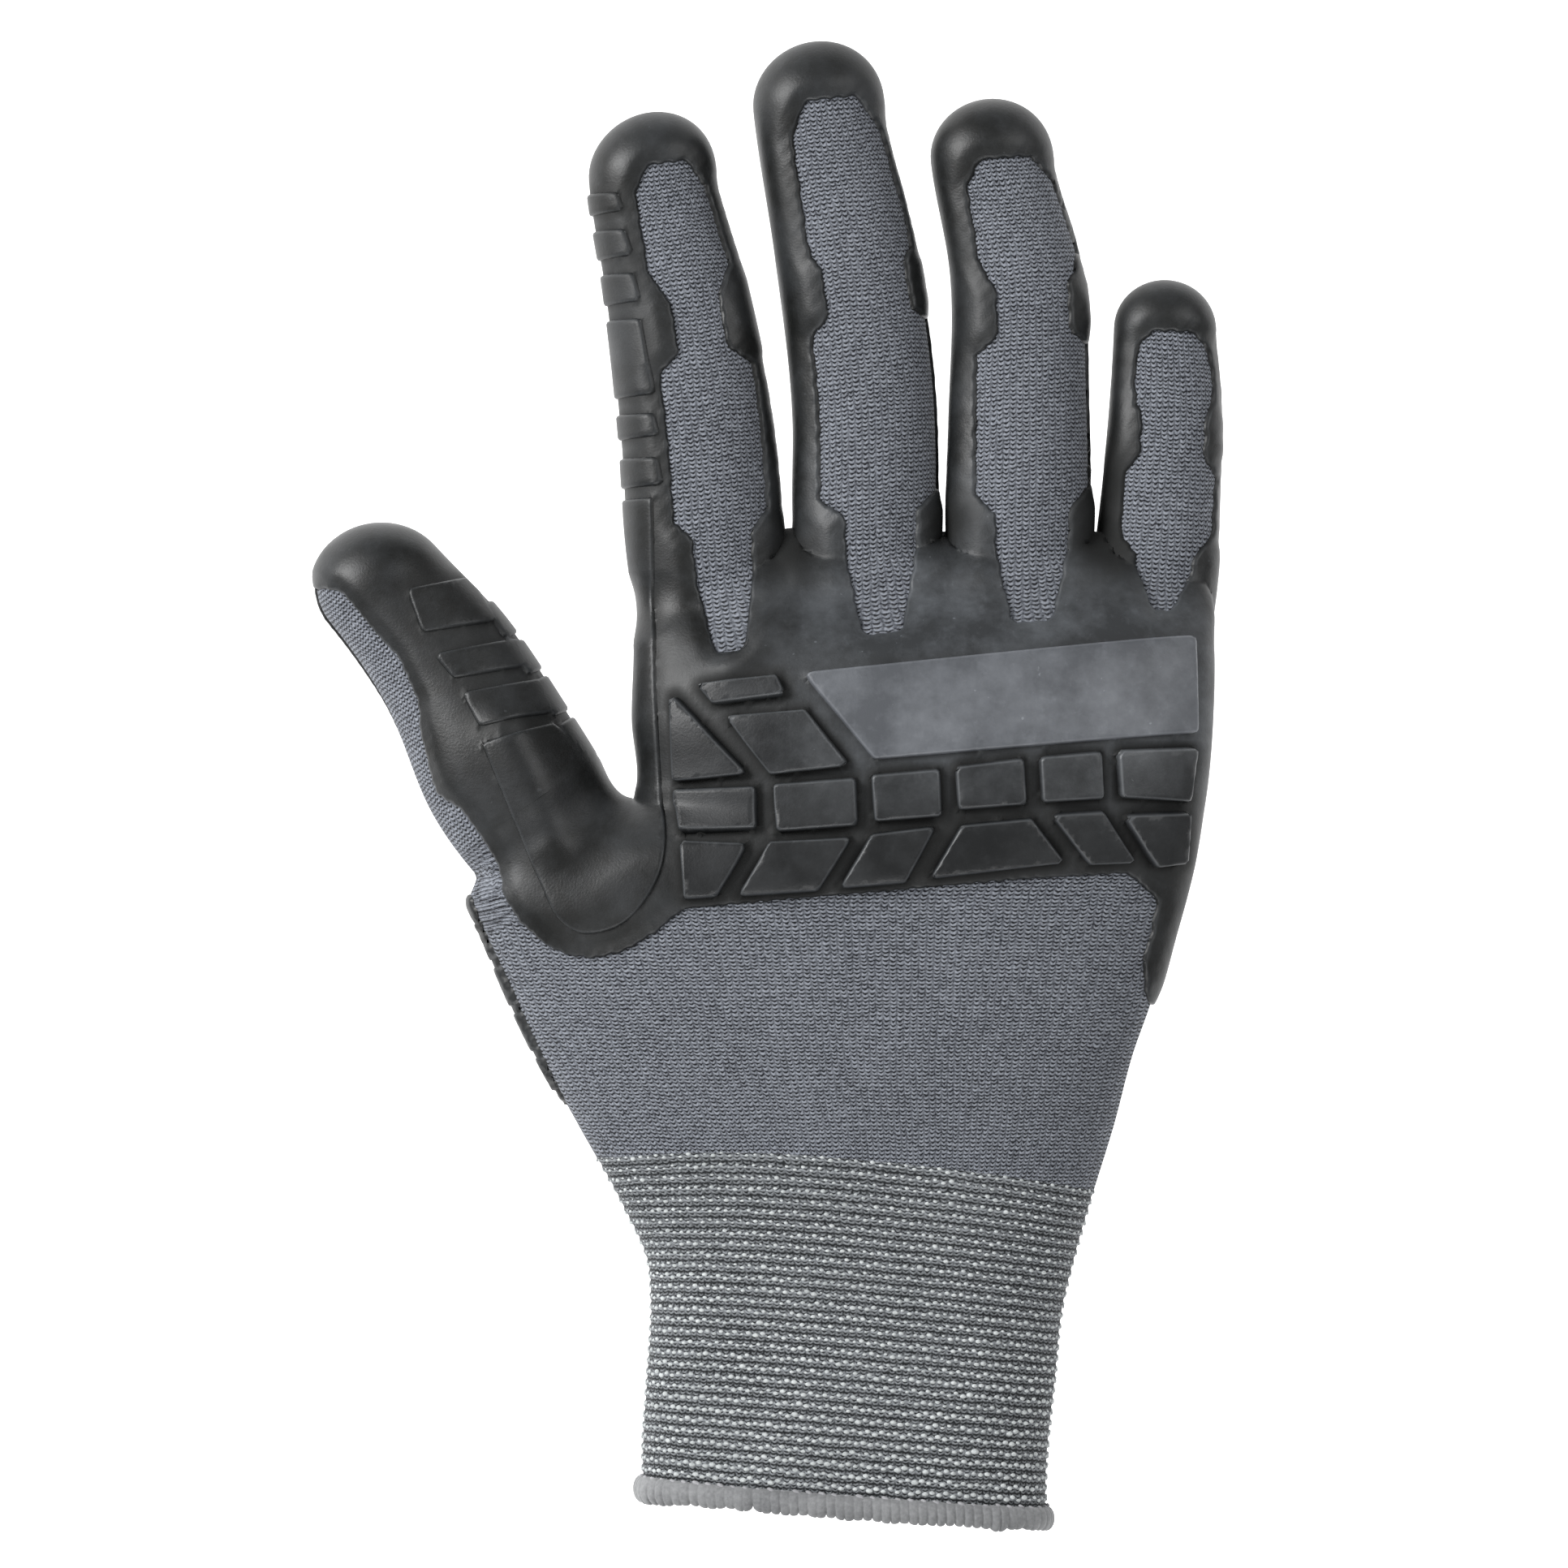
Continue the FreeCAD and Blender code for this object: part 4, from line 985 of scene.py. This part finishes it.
def lay_out(name, table, faces, looks):
    """One stretch of the glove: its liner, the rubber over it, and each kind of raised part."""
    made = {}
    points, normals = table[:, :3], unit(table[:, 3:6])
    knit = np.column_stack([table[:, U], table[:, V], np.zeros(len(table))])
    rubber = rubber_depth(points)
    raised, kind = raised_parts(points)
    made["liner"] = make_mesh(
        f"{name}_liner", points, faces, {"knit": knit, "rest": points * METRES}, looks["knit"]
    )
    on_rubber = rubber[faces].min(1) > -EDGE_SLACK
    highest = kind[faces[np.arange(len(faces)), raised[faces].argmax(1)]]
    centre_kind = np.where(raised[faces].min(1) > -EDGE_SLACK, highest, -1)
    sudden, slow = shoulder(rubber, EDGE_WIDTH), eased(rubber, 0.0, SWELL_WIDTH)
    height = RUBBER * (EDGE_SHARE * sudden + (1 - EDGE_SHARE) * slow) - EDGE_TUCK * (rubber < EDGE_SLACK)
    well_in = rubber > RIDGE_FROM
    ridge = line_distance(points[:, :2], flowing(THUMB_RIDGE)) / THUMB_RIDGE_WIDTH
    height = height + THUMB_RIDGE_HEIGHT * np.exp(-(ridge**2)) * (points[:, Z] > SIDE_Z) * well_in
    fold = line_distance(points[:, :2], flowing(WEB_FOLD)) / WEB_FOLD_WIDTH
    height += WEB_FOLD_HEIGHT * np.exp(-(fold**2)) * well_in
    facts = np.array([KINDS[k] for k in KIND_NAMES])
    # Painted shade: the rubber is darkened beside the raised parts and in the hollows between the fingers.
    unshaded_share = 1 - facts[kind, 4] * (1 - np.clip(-raised / GROOVE_SHADE_REACH, 0, 1)) ** GROOVE_SHADE_POWER
    for x, y, reach in SHADED_VALLEYS:
        away = np.hypot(points[:, X] - x, points[:, Y] - y) / reach
        unshaded_share *= 1 - VALLEY_SHADE * np.exp(-(away**2))
    # Paler on top of the back of the hand and towards the little finger's side; it fades towards the thumb,
    # the cuff and along the fingers.
    worn = math.prod(eased(sign * points[:, axis], *ends) for axis, sign, *ends in BACK_PALE_RANGES)
    lift = np.where(rubber > LIFT_FROM, facts[kind, 0] * shoulder(raised, facts[kind, 1]), 0.0)
    outer = points + normals * (height + lift)[:, None]
    for k in range(-1, len(KIND_NAMES)):
        chosen = faces[on_rubber & (centre_kind == k)]
        if len(chosen) < FEWEST_FACES:
            continue
        label = KIND_NAMES[k] if k >= 0 else "rubber"
        used, index = np.unique(chosen, return_inverse=True)
        edge = raised[used] if k >= 0 else rubber[used]
        made[label] = make_mesh(
            f"{name}_{label}",
            outer[used],
            index.reshape(chosen.shape),
            {
                "edge": edge,
                # open: the share of the rubber left free of painted shade
                "open": unshaded_share[used] if k < 0 else np.ones(len(used)),
                "worn": worn[used],
                "rest": points[used] * METRES,
            },
            looks.get(label, RUBBER_BLACK),
        )
    return made


def digit_cuts(p):
    """Where the hand's mesh stops and a digit's own begins: negative past the split, on that digit."""
    body = hand_field(p)
    keep = np.full(len(p), FAR)
    for digit in digits.values():
        along = digit.local(p)[1]
        keep = np.minimum(keep, np.maximum(digit.split - along, digit.field(p) - body))
    return keep


# The cuff's first row of elastic, in x and y; the rows below it change evenly into the line of the mouth.
FIRST_ROW = (
    (-40.0, -65.4), (-28.6, -64.5), (-5.3, -63.4), (4.6, -63.8), (21.2, -65.2), (38.0, -67.2), (60.0, -71.0)
)
ROWS = 30
RING_ROUNDS = 6  # how often a ring's x and y are worked out from each other
RING_SAMPLES = 721


def row_y(x, share):
    """The height of the cuff's rows at x: share 0 is the first and 1 the mouth."""
    first = curve(x, FIRST_ROW, 1)
    return first + share * (MOUTH_Y + MOUTH_SLOPE * (x - MOUTH_X) - first)


def cuff_ring(share, turn):
    """Points round the cuff along one of its rows, with normals, at turns from the little finger's side."""
    x = np.zeros(len(turn))
    for _ in range(RING_ROUNDS):
        y = row_y(x, share)
        cx, cz, rx, rz = hand_section(y)
        x = cx + rx * oval_turn(turn, SECTION_POWER)[0]
    z = cz + rz * oval_turn(turn, SECTION_POWER)[1]
    points = np.column_stack([x, y, z])
    return points, normals_of(hand_field, points)


def evenly_round(share, count, shift=0.0):
    """Points spaced evenly round one of the cuff's rows, with their normals."""
    turn = np.linspace(0, 2 * math.pi, RING_SAMPLES)
    ring = cuff_ring(share, turn)[0]
    length = np.concatenate([[0], np.cumsum(np.linalg.norm(np.diff(ring, axis=0), axis=1))])
    wanted = (np.arange(count) + shift) / count * length[-1]
    return cuff_ring(share, np.interp(wanted, length, turn))


def grid_faces(rows, columns):
    """Quads for rows of points, each row closed on itself."""
    i, j = np.meshgrid(np.arange(rows - 1), np.arange(columns), indexing="ij")
    a, b = i * columns + j, i * columns + (j + 1) % columns
    return np.stack([a, b, b + columns, a + columns], -1).reshape(-1, 4)


def cuff_knit():
    """The cuff's knit, with a low rib under each row of elastic."""
    columns, per_row = 240, 5
    around, down = 165.0, -56.0  # the knit's size round the cuff and along it
    tuck_share, tuck_depth = -0.02, -0.3  # the first ring lies under the hand's skin
    rib_height = 0.14
    shares = [tuck_share, *np.linspace(0, 1, ROWS * per_row + 1)]
    points, knit = [], []
    for share in shares:
        ring, normal = evenly_round(share, columns)
        rib = rib_height * math.cos(2 * math.pi * share * ROWS) if share >= 0 else tuck_depth
        points.append(ring + normal * rib)
        knit.append(np.column_stack([np.arange(columns) * around / columns, np.full(columns, down * share)]))
    points, knit = np.vstack(points), np.vstack(knit)
    values = {"knit": np.column_stack([knit, np.zeros(len(knit))]), "rest": points * METRES}
    return make_mesh("cuff_knit", points, grid_faces(len(shares), columns), values, CUFF)


BEAD = np.array([(1, 0, 0), (0, 1, 0), (-1, 0, 0), (0, -1, 0), (0, 0, 1), (0, 0, -1)], float)
BEAD_TOP = [(k, (k + 1) % 4, 4) for k in range(4)]
BEAD_FOOT = [((k + 1) % 4, k, 5) for k in range(4)]


def ball():
    """A rough ball: an octahedron with each face split in four."""
    points = list(map(tuple, BEAD))
    number = {p: i for i, p in enumerate(points)}
    faces = []
    for a, b, c in BEAD_TOP + BEAD_FOOT:
        mids = []
        for p, q in ((a, b), (b, c), (c, a)):
            m = (np.array(points[p]) + np.array(points[q])) / 2
            m = tuple(np.round(m / np.linalg.norm(m), 9))
            if m not in number:
                number[m] = len(points)
                points.append(m)
            mids.append(number[m])
        d, e, f = mids
        faces += [(a, d, f), (d, b, e), (f, e, c), (d, e, f)]
    return np.array(points), np.array(faces)


def beads(name, centres, normals, along, sizes, material):
    """Small beads lying on a surface as one mesh."""
    shape, faces = ball()
    side = unit(np.cross(normals, along))
    ahead = np.cross(side, normals)
    points = centres[:, None] + (
        ahead[:, None] * (shape[:, 0] * sizes[:, :1])[..., None]
        + side[:, None] * (shape[:, 1] * sizes[:, 1:2])[..., None]
        + normals[:, None] * (shape[:, 2] * sizes[:, 2:])[..., None]
    )
    every = (np.arange(len(centres)) * len(shape))[:, None, None] + faces
    points = points.reshape(-1, 3)
    return make_mesh(name, points, every.reshape(-1, 3), {"rest": points * METRES}, material)


def elastic_threads():
    """The elastic that shows as a bead at each stitch, in rows round the cuff."""
    draw = np.random.default_rng(7)
    count, bead = 136, (0.53, 0.36, 0.24)
    zigzag, stray = 0.16, 0.07
    centres, normals, ahead, sizes = [], [], [], []
    for row in range(ROWS):
        share = row / ROWS
        ring, normal = evenly_round(share, count, 0.5 * (row % 2))
        ring[:, 1] += np.where(np.arange(count) % 2, zigzag, -zigzag) + draw.normal(0, stray, count)
        centres.append(ring + normal * (0.1 - 0.1 * draw.random((count, 1))))
        normals.append(normal)
        ahead.append(np.roll(ring, -1, axis=0) - np.roll(ring, 1, axis=0))
        swell = 0.72 + 0.28 * share + draw.normal(0, 0.12, count)
        sizes.append(swell[:, None] * bead)
    return beads("cuff_elastic", *map(np.vstack, (centres, normals, ahead, sizes)), ELASTIC)


def hem_roll():
    """The overlocked hem: a roll wound with thread, with a gap between each turn and the next."""
    draw = np.random.default_rng(3)
    wraps, per_wrap, sides = 104, 9, 18
    count = wraps * per_wrap
    ring, normal = evenly_round(1.0, count)
    down = np.zeros_like(normal)
    down[:, 1] = -1.0
    down = unit(down - (down * normal).sum(1)[:, None] * normal)
    phase = np.arange(count) / per_wrap
    thick = np.interp(phase, np.arange(wraps + 1), 1 + 0.05 * draw.standard_normal(wraps + 1))
    gap = np.interp(phase, np.arange(wraps + 1), 0.06 + 0.14 * draw.random(wraps + 1))
    swell = 1 - gap * (1 - np.abs(np.sin(math.pi * phase)) ** 0.35)
    bulge = 1 + 0.14 * np.exp(-(((ring[:, 0] - MOUTH_X) / 5.0) ** 2))
    size = thick * swell * bulge
    half_long, half_thick = 2.05, 1.35  # half the roll's size down the cuff and out of it
    drop, lift = 1.5, 0.15  # how far its middle lies below the cuff's last row and outside it
    points = []
    for k in range(sides):
        a = 2 * math.pi * k / sides
        reach = down * (half_long * math.cos(a) + drop) + normal * (half_thick * math.sin(a) + lift)
        points.append(ring + reach * size[:, None])
    points = np.stack(points, 1).reshape(-1, 3)
    i, j = np.meshgrid(np.arange(count), np.arange(sides), indexing="ij")
    a, b = i * sides + j, i * sides + (j + 1) % sides
    c, d = (a + sides) % len(points), (b + sides) % len(points)
    faces = np.stack([a, c, d, b], -1).reshape(-1, 4)
    return make_mesh("cuff_hem", points, faces, {"rest": points * METRES}, HEM)


def hem_chain():
    """The chain of loops along the hem's upper edge."""
    draw = np.random.default_rng(5)
    count, loop, share = 150, (0.75, 0.34, 0.36), 0.998
    up, down, lean, lift = 0.3, -0.25, 0.9, 0.35  # how each loop and the next zigzag, lean and stand out
    ring, normal = evenly_round(share, count)
    ring[:, 1] += np.where(np.arange(count) % 2, up, down) + draw.normal(0, 0.08, count)
    ahead = np.roll(ring, -1, axis=0) - np.roll(ring, 1, axis=0)
    ahead[:, 1] += np.where(np.arange(count) % 2, lean, -lean)
    sizes = np.tile(loop, (count, 1)) * (1 + 0.1 * draw.standard_normal((count, 1)))
    return beads("cuff_hem_chain", ring + normal * lift, normal, ahead, sizes, HEM_LIGHT)


# ---------------------------------------------------------------- building it

LOOKS = {"knit": LINER, "knuckle_bar": BAR_GREY, "knuckle_blocks": PAD_BLACK}
HAND_BOX = ((-64.0, -76.0, -1.0), (82.0, 52.0, 36.0))  # the box that the hand's skin is meshed in


def finish_pieces(made, bind, stands_for):
    """Runs bind on each of a stretch's pieces and hides what they stand for."""
    for label, piece in made.items():
        bind(piece)
        if stands_for.get(label):
            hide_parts(*stands_for[label])


def build_hand():
    """The hand's stretch, from the cuff's first row up to the digits."""
    points, faces = surface_net(skin_field, *HAND_BOX, STEP)
    table = skin_table(points, skin_field)
    table = relaxed(table, faces)
    table, faces = kept(table, faces, table[:, Y] - row_y(table[:, X], 0.0))
    table, faces = kept(table, faces, digit_cuts(table[:, :3]))
    table, faces = dressed(table, faces)
    made = lay_out("hand", table, faces, LOOKS)
    roots = [f"{name}_root" for name in digits]
    stands_for = {
        "liner": ["lower_hand_knit", "upper_hand_knit"] + [f"{r}_knit" for r in roots],
        "rubber": ["heel_rubber", "palm_rubber", "knuckle_pad"] + [f"{r}_rubber" for r in roots],
        "palm_tread": ["palm_tread"],
        "knuckle_bar": ["knuckle_bar"],
        "knuckle_blocks": ["knuckle_blocks"],
        "thumb_saddle": ["thumb_saddle"],
    }
    finish_pieces(made, lambda piece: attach(piece, "hand"), stands_for)


def build_digit(digit):
    """A digit's stretches, one about each of its folds."""
    points, faces = digit_rings(digit, STEP)
    table = skin_table(points, digit.field)
    halves = [(a + b) / 2 for a, b in zip(digit.joints[:-1], digit.joints[1:])]
    starts, ends = [-FAR, *halves], [*halves, FAR]
    table, faces = dressed(table, faces)
    for k, segment in enumerate(digit.segments):
        along = digit.local(table[:, :3])[1]
        part, part_faces = kept(table, faces, along - starts[k]) if k else (table, faces)
        if k < len(digit.segments) - 1:
            part, part_faces = kept(part, part_faces, ends[k] - digit.local(part[:, :3])[1])
        made = lay_out(f"{digit.name}_{segment}", part, part_faces, LOOKS)
        own_name = f"{digit.name}_{segment}"
        stands_for = {"liner": [f"{own_name}_knit"], "rubber": [f"{own_name}_rubber"]}
        if digit.name == "index":
            own = ["base", "mid"] if segment == "mid" else [segment]
            stands_for["side_blocks"] = [f"index_{part}_side_blocks" for part in own]
        if digit.name == "thumb":
            pads = "thumb_tip_pad" if segment == "tip" else "thumb_base_pads"
            stands_for["thumb_pads"] = [pads]
        finish_pieces(made, lambda piece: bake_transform(piece), stands_for)


def build_cuff():
    """The cuff at the wrist, and its hem, which is bound to the cuff's body."""
    for piece, node, slot in (
        (cuff_knit(), "cuff_knit", "cuff_knit"),
        (elastic_threads(), "cuff_elastic", "elastic_thread"),
    ):
        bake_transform(piece)
        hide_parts(node)
    for piece in (hem_roll(), hem_chain()):
        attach(piece, "cuff")
        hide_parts("cuff_hem")


build_hand()
for each in digits.values():
    build_digit(each)
build_cuff()


# ---------------------------------------------------------------- floor, light and camera


def plain_material(name, shade):
    """A matt ground with a faint mottle."""
    s = Shader(name, 1.0)
    tone = s.node("ShaderNodeTexNoise", Scale=3.0)
    darker = shade * 0.99
    s.set("Base Color", s.mix(tone, colour(shade, shade, shade), colour(darker, darker, darker)))
    s.set("Specular IOR Level", 0.0)
    s.set("Emission Color", colour(1.0, 1.0, 1.0))
    s.set("Emission Strength", 0.6)
    return s.material


def area_light(name, place, size, power, aim=(0.0, 0.0, 0.01)):
    """A soft square light aimed at a point."""
    data = bpy.data.lights.new(name, "AREA")
    data.energy, data.size = power, size
    lamp = bpy.data.objects.new(name, data)
    lamp.location = place
    direction = mathutils.Vector(aim) - mathutils.Vector(place)
    lamp.rotation_euler = direction.to_track_quat("-Z", "Y").to_euler()
    bpy.context.scene.collection.objects.link(lamp)


FLOOR_Z = -0.14  # low enough that folded fingers stay above it
bpy.ops.mesh.primitive_plane_add(size=6.0, location=(0, 0, FLOOR_Z))
floor = bpy.context.object
floor.name = "floor"
floor.data.materials.append(plain_material("ground", 0.9))

world = bpy.data.worlds.new("studio")
world.use_nodes = True
world.node_tree.nodes["Background"].inputs["Color"].default_value = colour(1.0, 1.0, 1.0)
world.node_tree.nodes["Background"].inputs["Strength"].default_value = 0.3
bpy.context.scene.world = world
area_light("key", (-1.1, 0.55, 0.85), 0.7, 26.0)
area_light("fill", (0.9, 0.5, 1.1), 0.9, 7.0)
area_light("front", (-0.1, -1.1, 1.0), 0.8, 9.0)

DISTANCE = 2.0
PICTURE_WIDTH = 0.2654  # how much the picture shows from side to side, at the height below
PICTURE_Z = 0.016
camera_data = bpy.data.cameras.new("camera")
camera_data.sensor_width = 36.0
camera_data.lens = camera_data.sensor_width * (DISTANCE - PICTURE_Z) / PICTURE_WIDTH
camera = bpy.data.objects.new("camera", camera_data)
camera.location = (0.0024, -0.0011, DISTANCE)
bpy.context.scene.collection.objects.link(camera)
bpy.context.scene.camera = camera
bpy.context.scene.view_settings.view_transform = "Standard"
